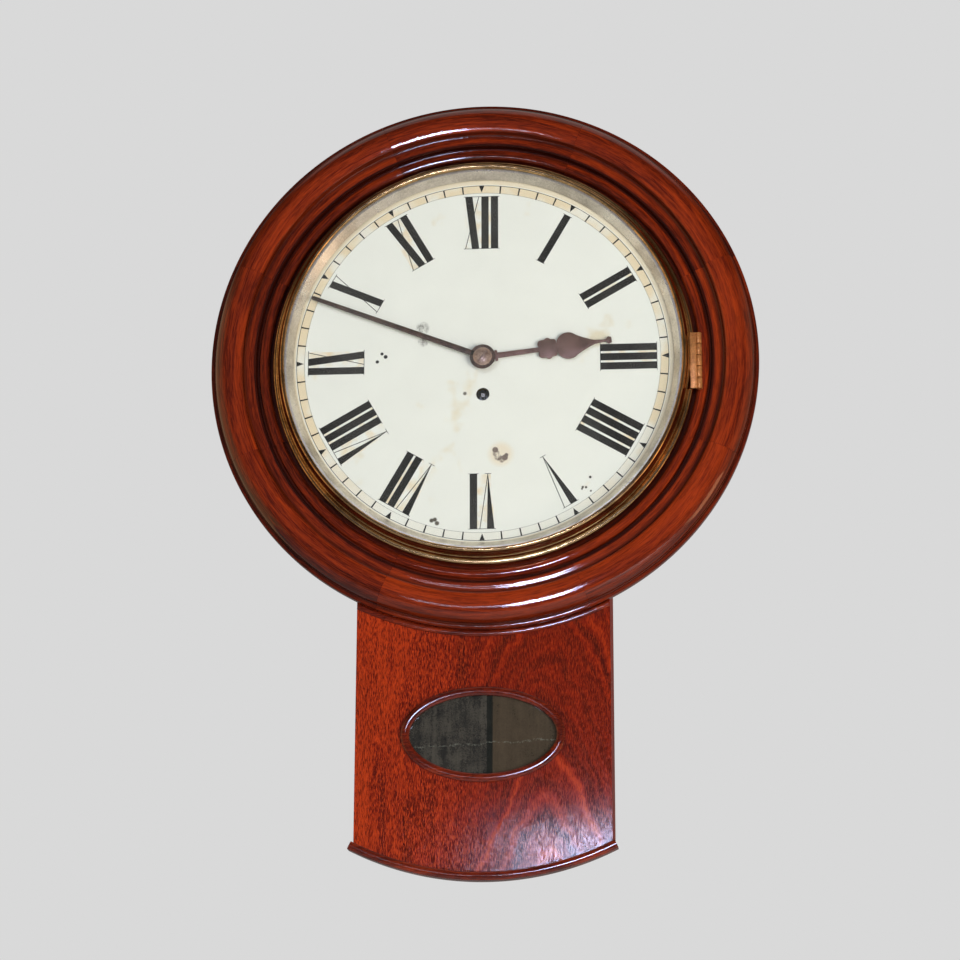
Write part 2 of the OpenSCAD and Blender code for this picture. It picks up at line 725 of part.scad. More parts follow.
module pillars() {
    color("gold") front_view() for (x = [-pillar_x, pillar_x], y = [-pillar_y, pillar_y]) difference() {
        union() {
            at([x, y], back_in) rotate_extrude() polygon([[0, 0], [5.4, 0], [5.4, 2], [pillar_r, 3.5],
                [pillar_r, plate_gap / 2 - 3], [5.2, plate_gap / 2 - 1], [5.2, plate_gap / 2 + 1],
                [pillar_r, plate_gap / 2 + 3], [pillar_r, plate_gap - 3.5], [5.4, plate_gap - 2],
                [5.4, plate_gap], [0, plate_gap]]);
            at([x, y], back_out) cylinder(r = pillar_end_r, h = plate_t + 1);
            at([x, y], front_in - 1) cylinder(r = pillar_end_r, h = plate_t + 4);
        }
        pin_hole([x, y], plate_z + 1);
    }
}
module back_cock() {
    y = anchor_at[1];
    color("gold") front_view() difference() {
        union() {
            block(-21, 21, y - 6, y + 6, cock_z, cock_z + cock_t);
            for (s = [-1, 1]) block(s > 0 ? 11 : -21, s > 0 ? 21 : -11, y - 6, y + 6,
                cock_z + cock_t - 1, back_out);
            block(-5, 5, y + 2.6, y + 11, pendulum_z - blade_w / 2 - 2, cock_z + cock_t);
        }
        hole(anchor_at, pivot_r + run, cock_z, cock_t);
        block(-slit / 2, slit / 2, y + 2, y + 12, pendulum_z - blade_w / 2 - 3,
            pendulum_z + blade_w / 2 + 0.3);
        for (s = [-1, 1]) hole([16 * s, y], screw_r + run, cock_z, back_out - cock_z);
    }
}
module back_cock_screws() {
    color("steelblue") front_view() for (s = [-1, 1]) at([16 * s, anchor_at[1]], cock_z)
        difference() {
            union() {
                translate([0, 0, -1.8]) cylinder(r = 2.8, h = 1.8);
                cylinder(r = screw_r, h = back_in - cock_z);
            }
            translate([-4, -0.3, -1.8 - eps]) cube([8, 0.6, 0.8]);
        }
}
module hour_bridge() {
    color("gold") front_view() difference() {
        union() {
            disc(bridge_pipe_r, bridge_z, 14);
            disc(6, bridge_z, 1.2);
            rotate(bridge_turn) block(-bridge_reach - 4, bridge_reach + 4, -4, 4, bridge_z, bridge_z + 1.2);
            for (a = [0, 180]) at(polar(bridge_reach, bridge_turn + a), plate_z)
                cylinder(r = 4, h = bridge_z - plate_z + 0.2);
        }
        hole(centre_at, bridge_pipe_in, bridge_z, 14);
    }
}

// Spring barrel and winding work
module barrel() {
    color("gold") front_view() at(barrel_at, 0) difference() {
        union() {
            disc(barrel_r, drum_z, great_z - drum_z + 0.5);
            extruded(great_z, great_t) polygon(wheel_outline(great_m, great_n));
        }
        disc(barrel_r - barrel_wall, drum_z - eps, great_z - drum_z - 0.8);
        disc(barrel_r - barrel_wall / 2, drum_z - eps, barrel_wall);
        hole([0, 0], drum_arbor_r + run, great_z - 2, great_t + 4);
    }
}
module barrel_cap() {
    color("gold") front_view() at(barrel_at, 0) difference() {
        disc(barrel_r - barrel_wall / 2 - run, drum_z, barrel_wall - 0.1);
        hole([0, 0], drum_arbor_r + run, drum_z, barrel_wall);
    }
}
module mainspring() {
    turns = 7;
    steps = 24;
    r0 = drum_arbor_r + 1.6;
    r1 = barrel_r - barrel_wall - 0.9;
    n = turns * steps;
    color("slategray") front_view() at(barrel_at, 0) extruded(drum_z + 2, great_z - drum_z - 3.6)
        polygon(concat([for (i = [0:n]) polar(r0 + (r1 - r0) * i / n, 360 * i / steps)],
            [for (i = [n:-1:0]) polar(r0 + (r1 - r0) * i / n + 0.5, 360 * i / steps)]));
}
module barrel_arbor() {
    color("silver") front_view() at(barrel_at, 0) {
        disc(winding_pivot_r, back_out + 0.2, plate_z - back_out + 0.1);
        disc(drum_arbor_r, back_in + 0.5, plate_gap - 1);
        difference() {
            disc(drum_arbor_r + 0.8, drum_z + 2.5, great_z - drum_z - 5);
            block(-5, 5, -5, 2, drum_z + 2, great_z);
        }
        block(-square_w / 2, square_w / 2, -square_w / 2, square_w / 2, plate_z, dial_back - 2);
    }
}
module ratchet_wheel() {
    color("silver") front_view() at(barrel_at, 0) extruded(ratchet_z, ratchet_t) difference() {
        polygon(ratchet_outline(ratchet_r, ratchet_n));
        square(square_w + 2 * run, center = true);
    }
}
module click() {
    tail = click_at - 6 * click_along;
    color("silver") front_view() {
        extruded(ratchet_z, ratchet_t) {
            translate(click_at) circle(r = 2.8);
            polygon([click_at + 2 * click_out, click_tip + 0.6 * click_out, click_tip - 0.6 * click_out,
                click_at - 2 * click_out]);
            polygon([click_at - 2.4 * click_out, click_at + 2.4 * click_out, tail + 0.8 * click_out,
                tail - 0.8 * click_out]);
        }
        at(click_at, front_in + 0.2) cylinder(r = 1.2, h = ratchet_z - front_in);
    }
}
module click_spring() {
    start = click_at + 3.1 * click_out - 12 * click_along;
    end = click_at + 3.1 * click_out + 7 * click_along;
    color("silver") front_view() {
        extruded(plate_z, 2) translate(start + 1.6 * click_out) circle(r = 2.6);
        extruded(ratchet_z, ratchet_t - 0.4)
            polygon([start, end, end + 0.6 * click_out, start + click_out]);
    }
}

// Going train
module intermediate_wheel() {
    color("gold") front_view() at(inter_at, 0) {
        arbor(arbor_r);
        extruded(great_z - 0.8, great_t + 1.6) rotate(inter_pinion_turn)
            polygon(pinion_outline(great_m, inter_leaves));
        extruded(inter_z, wheel_t) rotate(inter_wheel_turn) crossed(inter_m * inter_n / 2 - 2.4, 5, 4, 3)
            polygon(wheel_outline(inter_m, inter_n));
    }
}
module centre_wheel() {
    color("gold") front_view() {
        arbor(arbor_r);
        disc(arbor_r, front_in - 1, minute_hand_z + hand_t - front_in + 1);
        extruded(inter_z - 0.8, wheel_t + 1.6) rotate(centre_pinion_turn)
            polygon(pinion_outline(inter_m, centre_leaves));
        extruded(centre_z, wheel_t) crossed(centre_m * centre_n / 2 - 2.4, 5, 4, 3)
            polygon(wheel_outline(centre_m, centre_n));
    }
}
module third_wheel() {
    color("gold") front_view() at(third_at, 0) {
        arbor(1.1);
        extruded(centre_z - 0.8, wheel_t + 1.6) rotate(third_pinion_turn)
            polygon(pinion_outline(centre_m, third_leaves));
        extruded(third_z, wheel_t) rotate(third_wheel_turn) crossed(third_m * third_n / 2 - 2.2, 4.5, 4, 2.6)
            polygon(wheel_outline(third_m, third_n));
    }
}
module escape_wheel() {
    color("gold") front_view() at(escape_at, 0) {
        arbor(0.9);
        extruded(third_z - 0.8, wheel_t + 1.6) rotate(escape_pinion_turn)
            polygon(pinion_outline(third_m, escape_leaves));
        extruded(escape_z, wheel_t) crossed(escape_r - 4.4, 3, 4, 2)
            polygon(escape_outline(escape_r, escape_n));
    }
}
// Turn of each wheel that puts a tooth opposite a space of the wheel that drives it
function angle_to(p, q) = atan2(q[1] - p[1], q[0] - p[0]);
function mesh_turn(from_at, to_at, driver_turn, driver_n, n) = let (a = angle_to(from_at, to_at),
    phase = (a - driver_turn) * driver_n / 360) a + 180 + phase * 360 / n;
inter_pinion_turn = mesh_turn(barrel_at, inter_at, 0, great_n, inter_leaves);
inter_wheel_turn = 0;
centre_pinion_turn = mesh_turn(inter_at, centre_at, inter_wheel_turn, inter_n, centre_leaves);
third_pinion_turn = mesh_turn(centre_at, third_at, 0, centre_n, third_leaves);
third_wheel_turn = 0;
escape_pinion_turn = mesh_turn(third_at, escape_at, third_wheel_turn, third_n, escape_leaves);
minute_wheel_turn = mesh_turn(centre_at, minute_at, 0, cannon_n, minute_n);
hour_wheel_turn = mesh_turn(minute_at, centre_at, 0, minute_leaves, hour_n);

// Motion work and hands
module cannon_pinion() {
    color("silver") front_view() difference() {
        union() {
            extruded(cannon_gear_z, 2.4) polygon(gear_outline(cannon_m, cannon_n, 0));
            disc(cannon_pipe_r, cannon_gear_z, minute_hand_z + hand_t - 0.3 - cannon_gear_z);
        }
        hole(centre_at, arbor_r + run, cannon_gear_z, 40);
    }
}
module minute_wheel() {
    color("gold") front_view() at(minute_at, 0) difference() {
        union() {
            extruded(cannon_gear_z + 0.4, wheel_t) rotate(minute_wheel_turn)
                crossed(cannon_m * minute_n / 2 - 2, 5.5, 4, 2.6) polygon(gear_outline(cannon_m, minute_n, 0.5));
            extruded(cannon_gear_z + 0.4, hour_gear_z + 0.4 - cannon_gear_z + wheel_t)
                polygon(gear_outline(hour_m, minute_leaves, 0));
        }
        hole([0, 0], arbor_r + run, cannon_gear_z, 20);
    }
}
module hour_wheel() {
    color("gold") front_view() difference() {
        union() {
            extruded(hour_gear_z, wheel_t) rotate(hour_wheel_turn)
                crossed(hour_m * hour_n / 2 - 2, 6, 4, 2.6) polygon(gear_outline(hour_m, hour_n, 0.5));
            disc(hour_pipe_r, hour_gear_z, hour_hand_z + hand_t + 0.2 - hour_gear_z);
        }
        hole(centre_at, hour_pipe_in, hour_gear_z, 40);
    }
}
module minute_hand() {
    color("saddlebrown") front_view() difference() {
        union() {
            disc(boss_r, minute_hand_z, hand_t);
            rotate(90 - minute_angle) extruded(minute_hand_z, hand_t)
                polygon([[0, -minute_w / 2], [minute_len, -minute_w * 0.37],
                    [minute_len, minute_w * 0.37], [0, minute_w / 2]]);
        }
        hole(centre_at, cannon_pipe_r + run, minute_hand_z, hand_t);
    }
}
// Half outline of the hour hand: hub collar, stem, scalloped collar, spade and tip
function hour_half() = let (s = spade_w, k = hour_len / 102.4, outline = concat([[5, 2.2], [11.4, 2.2],
    [11.8, 4.4], [13.6, 4.2], [13.8, 2.2], [44.5, 1.8]], arc([46.6, 4.2], 3, 210, 80, 5),
    arc([51.6, 6], 2.6, 150, 30, 5), arc([56, 4.6], 2.4, 100, -20, 5), [[58.6, 3.4]],
    arc([67.5, s - 9.4], 9.4, 160, 62, 8), [[77, s - 4.4], [83, 3.6], [88, 1.7], [94, 1], [97, 1],
    [98.2, 2.8], [102.4, 0]])) [for (p = outline) [p[0] * k, p[1]]];
module hour_hand() {
    half = hour_half();
    n = len(half);
    color("saddlebrown") front_view() difference() {
        union() {
            disc(boss_r - 0.8, hour_hand_z, hand_t);
            rotate(90 - hour_angle) extruded(hour_hand_z, hand_t)
                polygon(concat(half, [for (i = [n - 2:-1:0]) [half[i][0], -half[i][1]]]));
        }
        hole(centre_at, hour_pipe_r + run, hour_hand_z, hand_t);
    }
}
module centre_screw() {
    top = minute_hand_z + hand_t;
    color("saddlebrown") front_view() difference() {
        translate([0, 0, top]) rotate_extrude()
            polygon(concat([[0, 0], [7.4, 0]], arc([0, -15.3], 17, 64.2, 90, 6)));
        rotate(52) translate([-5, -0.4, top + screw_dome - 0.6]) cube([10, 0.8, 1]);
    }
}

// Escapement and pendulum
module pallets() {
    nib = escape_r + 0.8;
    arch = escape_r + 2;
    color("silver") front_view() {
        at(anchor_at, cock_z + 0.2) cylinder(r = pivot_r, h = plate_z - cock_z - 0.4);
        at(anchor_at, cock_z + cock_t + 0.3) cylinder(r = arbor_r, h = front_in - cock_z - cock_t - 0.6);
        extruded(escape_z - 0.4, wheel_t + 0.8) {
            translate(anchor_at) circle(r = 3.6);
            intersection() {
                translate(escape_at) difference() {
                    circle(r = arch + 2.6);
                    circle(r = arch);
                }
                sector(escape_at, 90 - anchor_span - 6, 90 + anchor_span + 6);
            }
            for (s = [-1, 1]) intersection() {
                translate(escape_at) difference() {
                    circle(r = arch + 1);
                    circle(r = nib);
                }
                sector(escape_at, 90 + s * anchor_span - 6, 90 + s * anchor_span + 6);
            }
        }
    }
}
module sector(c, a0, a1) {
    mid = (a0 + a1) / 2;
    far = 40;
    translate(c) polygon([[0, 0], polar(far, a0), polar(far, mid), polar(far, a1)]);
}
module crutch() {
    y = anchor_at[1];
    color("silver") front_view() {
        difference() {
            union() {
                at(anchor_at, crutch_z - 1.5) cylinder(r = 3, h = 3);
                translate([0, y - 2, crutch_z]) rotate([90, 0, 0]) cylinder(r = 1, h = y - 2 + crutch_drop);
            }
            hole(anchor_at, arbor_r + run, crutch_z - 1.5, 3);
        }
        at([0, -crutch_drop], pendulum_z - 4) cylinder(r = 1, h = crutch_z - pendulum_z + 5);
    }
}
module suspension_spring() {
    y = anchor_at[1];
    color("slategray") front_view() {
        block(-blade_t / 2, blade_t / 2, y - 7, y + 12, pendulum_z - blade_w / 2, pendulum_z + blade_w / 2);
        block(-3, 3, y + 11 + seat, y + 15, pendulum_z - blade_w / 2, pendulum_z + blade_w / 2);
        block(-2.5, 2.5, y - 13, y - 6, pendulum_z - blade_w / 2 + 1, pendulum_z + blade_w / 2 - 1);
    }
}
module pendulum_rod() {
    top = anchor_at[1] - 13;
    foot = bob_drop + bob_r;
    color("dimgray") front_view() difference() {
        union() {
            block(-rod_w / 2, rod_w / 2, -foot + 4, top, pendulum_z - rod_t / 2, pendulum_z + rod_t / 2);
            translate([0, -foot + 5, pendulum_z]) rotate([90, 0, 0]) cylinder(r = thread_r, h = nut_t + 6.5);
        }
        block(-1 - run, 1 + run, -crutch_drop - 6, -crutch_drop + 6, pendulum_z - 5, pendulum_z + 5);
    }
}
module pendulum_bob() {
    r = (pow(bob_r, 2) + pow(bob_t / 2, 2)) / bob_t;
    color("gold") front_view() difference() {
        translate([0, -bob_drop, pendulum_z]) intersection() {
            translate([0, 0, bob_t / 2 - r]) sphere(r = r);
            translate([0, 0, r - bob_t / 2]) sphere(r = r);
        }
        block(-rod_w / 2 - 0.2, rod_w / 2 + 0.2, -bob_drop - bob_r - 1, -bob_drop + bob_r + 1,
            pendulum_z - rod_t / 2 - 0.2, pendulum_z + rod_t / 2 + 0.2);
    }
}
module rating_nut() {
    color("gold") front_view() translate([0, -bob_drop - bob_r - seat, pendulum_z]) rotate([90, 0, 0])
        difference() {
            cylinder(r = nut_r, h = nut_t);
            translate([0, 0, -1]) cylinder(r = thread_r + run, h = nut_t + 2);
        }
}

back_board();
side_left();
side_right();
top_board();
trunk_front();
bottom_board();
hanging_plate();
wood_screws();
surround();
surround_lugs();
surround_pegs();
neck_bead();
window_bead();
window_glass();
foot_bead();
dial_plate();
dial_feet();
side_door();
side_door_knob();
door_hinge_plates();
side_door_wings();
bottom_door();
bottom_door_wings();
bottom_door_knob();
bezel_ring();
bezel_glass();
sight_ring();
bezel_hinge_plate();
bezel_hinge_wing();
bezel_catch();
front_plate();
back_plate();
pillars();
taper_pins();
back_cock();
back_cock_screws();
hour_bridge();
barrel();
barrel_cap();
mainspring();
barrel_arbor();
ratchet_wheel();
click();
click_spring();
intermediate_wheel();
centre_wheel();
cannon_pinion();
minute_wheel();
hour_wheel();
minute_hand();
hour_hand();
centre_screw();
third_wheel();
escape_wheel();
pallets();
crutch();
suspension_spring();
pendulum_rod();
pendulum_bob();
rating_nut();
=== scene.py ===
"""Looks of the drop dial wall clock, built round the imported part.

Sizes are in metres where a property or a frame box gives them, and in millimetres inside the
shape code, which draws each piece as seen from the front: x to the right, y up from the dial
centre, z out from the wall. FRONT turns that into the part's own frame.
"""

import math

import bmesh
import bpy
from bpy.props import FloatProperty, FloatVectorProperty, IntProperty, PointerProperty
from mathutils import Matrix, Vector


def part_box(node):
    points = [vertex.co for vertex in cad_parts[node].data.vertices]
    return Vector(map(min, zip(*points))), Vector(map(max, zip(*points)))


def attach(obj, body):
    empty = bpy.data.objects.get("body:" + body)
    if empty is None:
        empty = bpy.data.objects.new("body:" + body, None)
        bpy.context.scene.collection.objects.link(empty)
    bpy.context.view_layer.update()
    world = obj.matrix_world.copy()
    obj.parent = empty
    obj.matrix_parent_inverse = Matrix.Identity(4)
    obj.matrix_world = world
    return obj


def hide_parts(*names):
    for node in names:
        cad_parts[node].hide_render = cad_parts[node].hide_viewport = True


bl_info = {
    "name": "Drop Dial Clock",
    "version": (1, 0, 0),
    "blender": (4, 5, 0),
    "location": "View3D > Sidebar > Clock",
    "description": "Dresses the packed drop dial wall clock in polished mahogany, brass and paint",
    "category": "Object",
}

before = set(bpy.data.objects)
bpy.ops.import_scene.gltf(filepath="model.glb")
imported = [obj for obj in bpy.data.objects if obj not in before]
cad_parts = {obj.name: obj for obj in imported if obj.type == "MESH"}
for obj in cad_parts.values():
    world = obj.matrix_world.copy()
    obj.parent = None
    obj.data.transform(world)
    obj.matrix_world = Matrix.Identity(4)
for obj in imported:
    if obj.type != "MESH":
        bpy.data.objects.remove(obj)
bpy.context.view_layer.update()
FRONT = Matrix(((0.001, 0, 0, 0), (0, 0, -0.001, 0), (0, 0.001, 0, 0), (0, 0, 0, 1)))
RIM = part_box("surround")[1].x * 1000
CASE_D = -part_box("trunk_front")[0].y * 1000
CREST = -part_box("surround")[0].y * 1000 - CASE_D
HALF_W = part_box("trunk_front")[1].x * 1000
BEZEL_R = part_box("bezel_ring")[1].x * 1000
DIAL_FRONT = -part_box("dial_plate")[0].y * 1000
MINUTE_Z = -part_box("minute_hand")[1].y * 1000
HOUR_Z = -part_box("hour_hand")[1].y * 1000
HAND_T = -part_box("minute_hand")[0].y * 1000 - MINUTE_Z
BARREL_Y = sum(corner.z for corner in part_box("barrel")) * 500
DIAL_AT = Vector((-0.8, -1.1))  # the painted dial sits a little low and to the left in its hole
DIAL_TURN = 0.25
WINDOW_Y = sum(corner.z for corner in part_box("window_bead")) * 500
WINDOW_HALF = (57.0, 31.0)      # the oval hole in the trunk front
WINDOW_BEAD_IN = (55.8, 29.8)   # the inner edge of its bead
FOOT_ARC = 220.0                # the curve along the foot of the trunk front
MINUTE_AT, HOUR_AT = 291, 82.85  # where the hands point, in degrees clockwise from XII


def linear(text):
    """An sRGB hex colour as linear RGBA."""
    parts = [int(text[i:i + 2], 16) / 255 for i in (1, 3, 5)]
    return tuple(c / 12.92 if c <= 0.04045 else ((c + 0.055) / 1.055) ** 2.4 for c in parts) + (1.0,)


def colour(name, text, description):
    return FloatVectorProperty(name=name, description=description, subtype="COLOR", size=3,
                               min=0, max=1, default=linear(text)[:3])


def length(name, millimetres, description):
    return FloatProperty(name=name, description=description, unit="LENGTH", precision=5,
                         min=0, default=millimetres / 1000)


class ClockSizes(bpy.types.PropertyGroup):
    """Sizes that Blender adds to the part"""
    ring_joint: length("Ring joint", 0.16, "Gap between two segments of the turned ring")
    ring_steps: IntProperty(name="Ring steps", description="Faces along each ring segment",
                            min=6, max=64, default=30)
    edge: length("Worn edge", 0.7, "Rounding of the trunk front's edges")
    numeral_in: length("Numeral foot", 92.5, "Radius of the feet of the hour numerals")
    numeral_out: length("Numeral head", 136.5, "Radius of the heads of the hour numerals")
    bar: length("Numeral bar", 5.75, "Width of a numeral's thick strokes")
    hairline: length("Hairline", 0.55, "Width of a numeral's thin strokes")
    track_in: length("Track inside", 139.5, "Inner circle of the minute track")
    track_out: length("Track outside", 145.7, "Outer circle of the minute track")
    paint: length("Paint", 0.06, "Thickness of the painted numerals")
    winding_hole: length("Winding hole", 5.2, "Radius of the hole over the winding square")
    grain: length("Grain", 0.9, "Width of the mahogany's pores, as coarse as the picture shows")


class ClockColours(bpy.types.PropertyGroup):
    """Colours of the woods, metals and paints"""
    trunk: colour("Trunk mahogany", "#7b1c05", "Base of the flame mahogany on the trunk")
    trunk_dark: colour("Trunk dark figure", "#3f0f04", "Dark streaks of the flame mahogany")
    trunk_light: colour("Trunk light figure", "#b63a0d", "Light streaks of the flame mahogany")
    ring: colour("Ring mahogany", "#681d08", "Base of the turned ring")
    ring_dark: colour("Ring dark grain", "#300c04", "Dark grain of the turned ring")
    ring_light: colour("Ring light grain", "#9d350e", "Light grain of the turned ring")
    bead: colour("Bead mahogany", "#5e1b0e", "Dark mahogany of the window, neck and foot beads")
    case: colour("Case wood", "#5a2d17", "Stained softwood of the case")
    brass: colour("Aged brass", "#d8b07c", "Lacquered brass of the bezel")
    movement: colour("Movement brass", "#c2a05a", "Satin brass of the movement")
    silver: colour("Silvered ring", "#ece3d3", "Silvered sight ring")
    dial: colour("Dial paint", "#ebeee3", "White dial paint")
    cream: colour("Aged paint", "#e6d6b0", "Paint yellowed under the numerals and the track")
    ink: colour("Numeral paint", "#15140f", "Black paint of the numerals")
    hands: colour("Hands", "#1f120c", "Blackened steel of the hands")
    backdrop: colour("Backdrop", "#d9d9d9", "Pale studio background")


def sizes():
    return bpy.context.scene.clock_sizes


def colours():
    return bpy.context.scene.clock_colours


def mm(metres):
    return metres * 1000


def polar(radius, degrees):
    angle = math.radians(degrees)
    return Vector((radius * math.cos(angle), radius * math.sin(angle), 0))


def arc(x, y, radius, start, end, steps):
    """Points of an arc in a section, as (radius, height) pairs."""
    return [(x + radius * math.cos(math.radians(start + (end - start) * i / steps)),
             y + radius * math.sin(math.radians(start + (end - start) * i / steps)))
            for i in range(steps + 1)]


def crown(x, half, height, radius, steps=12):
    """Section of a moulding with upright sides, eased shoulders and a flat-arched top."""
    reach = math.degrees(math.asin((half - 0.45) / radius))
    drop = radius * (1 - math.cos(math.radians(reach)))
    return ([(x + half, 0), (x + half, height - drop - 0.8), (x + half - 0.15, height - drop - 0.3)]
            + arc(x, height - radius, radius, 90 - reach, 90 + reach, steps)
            + [(x - half + 0.15, height - drop - 0.3), (x - half, height - drop - 0.8), (x - half, 0)])


def section(bm, points, degrees=0.0, closed=True):
    """Edges of a turned piece's section, standing on the axis at the given angle."""
    turn = Matrix.Rotation(math.radians(degrees), 3, "Z")
    verts = [bm.verts.new(turn @ Vector((r, 0, z))) for r, z in points]
    pairs = list(zip(verts, verts[1:] + verts[:1] if closed else verts[1:]))
    return [bm.edges.new(pair) for pair in pairs]


def turn(bm, edges, degrees, steps, merge):
    """Spins a section round the dial's axis and returns the last section."""
    geometry = edges + list({v for e in edges for v in e.verts})
    done = bmesh.ops.spin(bm, geom=geometry, cent=(0, 0, 0), axis=(0, 0, 1), dvec=(0, 0, 0),
                          angle=math.radians(degrees), steps=steps, use_merge=merge,
                          use_normal_flip=False, use_duplicate=False)
    return [g for g in done["geom_last"] if isinstance(g, bmesh.types.BMEdge)]


def turned_part(points, degrees=360.0, start=0.0, steps=192, offset=(0, 0, 0)):
    """A closed section spun into a whole ring, or into an arc with its ends filled."""
    bm = bmesh.new()
    whole = abs(degrees - 360) < 1e-6
    first = section(bm, points, start)
    last = turn(bm, first, degrees, steps, whole)
    if not whole:
        bmesh.ops.edgeloop_fill(bm, edges=first)
        bmesh.ops.edgeloop_fill(bm, edges=last)
    bmesh.ops.remove_doubles(bm, verts=bm.verts, dist=0.0005)
    bmesh.ops.translate(bm, verts=bm.verts, vec=offset)
    return bm


def flat_stroke(bm, a, b, width_a, width_b, z):
    """A thin painted stroke from a to b, each end with its own width."""
    along = (b - a).normalized()
    side = Vector((-along.y, along.x, 0))
    made = bmesh.ops.create_grid(bm, x_segments=1, y_segments=1, size=0.5)["verts"]
    for vert in made:
        end, width = (a, width_a) if vert.co.x < 0 else (b, width_b)
        vert.co = end + side * width * vert.co.y + Vector((0, 0, z))


def raise_paint(bm, thickness):
    """Gives flat strokes the thickness of their paint, outward from the dial."""
    done = bmesh.ops.extrude_face_region(bm, geom=bm.faces[:], use_keep_orig=True)
    top = [g for g in done["geom"] if isinstance(g, bmesh.types.BMVert)]
    bmesh.ops.translate(bm, verts=top, vec=(0, 0, thickness))


def piece(name, bm, material, body, nodes=(), smooth=35.0, outward=True):
    """Turns a front-view bmesh in millimetres into a finished piece that rides on its body."""
    bmesh.ops.transform(bm, matrix=FRONT, verts=bm.verts)
    if outward:
        bmesh.ops.recalc_face_normals(bm, faces=bm.faces)
    mesh = bpy.data.meshes.new(name)
    bm.to_mesh(mesh)
    bm.free()
    if smooth is not None:
        mesh.shade_smooth()
        mesh.set_sharp_from_angle(angle=math.radians(smooth))
    obj = bpy.data.objects.new(name, mesh)
    bpy.context.scene.collection.objects.link(obj)
    mesh.materials.append(material)
    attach(obj, body)
    if nodes:
        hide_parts(*nodes)
    return obj


def finish_node(node, material):
    """Gives a CAD node its material; its shape stays as the part has it."""
    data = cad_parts[node].data
    data.materials.clear()
    data.materials.append(material)


def add(tree, kind, inputs=None, stops=None, **settings):
    """Adds a node with its settings, its colour stops, and its values or links by socket name."""
    made = tree.nodes.new("ShaderNode" + kind)
    for name, value in settings.items():
        setattr(made, name, value)
    for name, value in (inputs or {}).items():
        if isinstance(name, int):
            socket = made.inputs[name]
        else:
            socket = next(s for s in made.inputs if s.name == name and s.enabled)
        if isinstance(value, bpy.types.Node):
            value = next(s for s in value.outputs if s.enabled)
        if isinstance(value, bpy.types.NodeSocket):
            tree.links.new(value, socket)
        else:
            socket.default_value = value
    if stops:
        band = made.color_ramp.elements
        while len(band) < len(stops):
            band.new(0.5)
        for element, (position, value) in zip(band, stops):
            element.position = position
            element.color = value if hasattr(value, "__len__") else (value, value, value, 1)
    return made


def new_material(name):
    """An empty node material and its shader, linked to the output."""
    material = bpy.data.materials.get(name)
    if material:
        return material, None, None
    material = bpy.data.materials.new(name)
    material.use_nodes = True
    tree = material.node_tree
    tree.nodes.clear()
    shader = add(tree, "BsdfPrincipled")
    add(tree, "OutputMaterial", {"Surface": shader})
    return material, tree, shader


def rgba(value):
    return (*value[:3], 1.0)


GRAIN_ALONG = {"Z": (0, math.pi / 2, 0), "Y": (0, 0, -math.pi / 2), "X": (0, 0, 0)}


def in_millimetres(tree, turn=(0, 0, 0)):
    """The place on a piece in millimetres, turned so that the grain of its board lies along x."""
    return add(tree, "Mapping", {"Vector": add(tree, "TexCoord").outputs["Object"],
                                 "Scale": (1000, 1000, 1000), "Rotation": turn})


def figure(tree, place, size, detail, **inputs):
    """Noise whose features have the given size in millimetres along x, y and z."""
    stretched = add(tree, "Mapping", {"Vector": place, "Scale": [1 / reach for reach in size]})
    return add(tree, "TexNoise", {"Vector": stretched, "Scale": 1.0, "Detail": detail, **inputs})


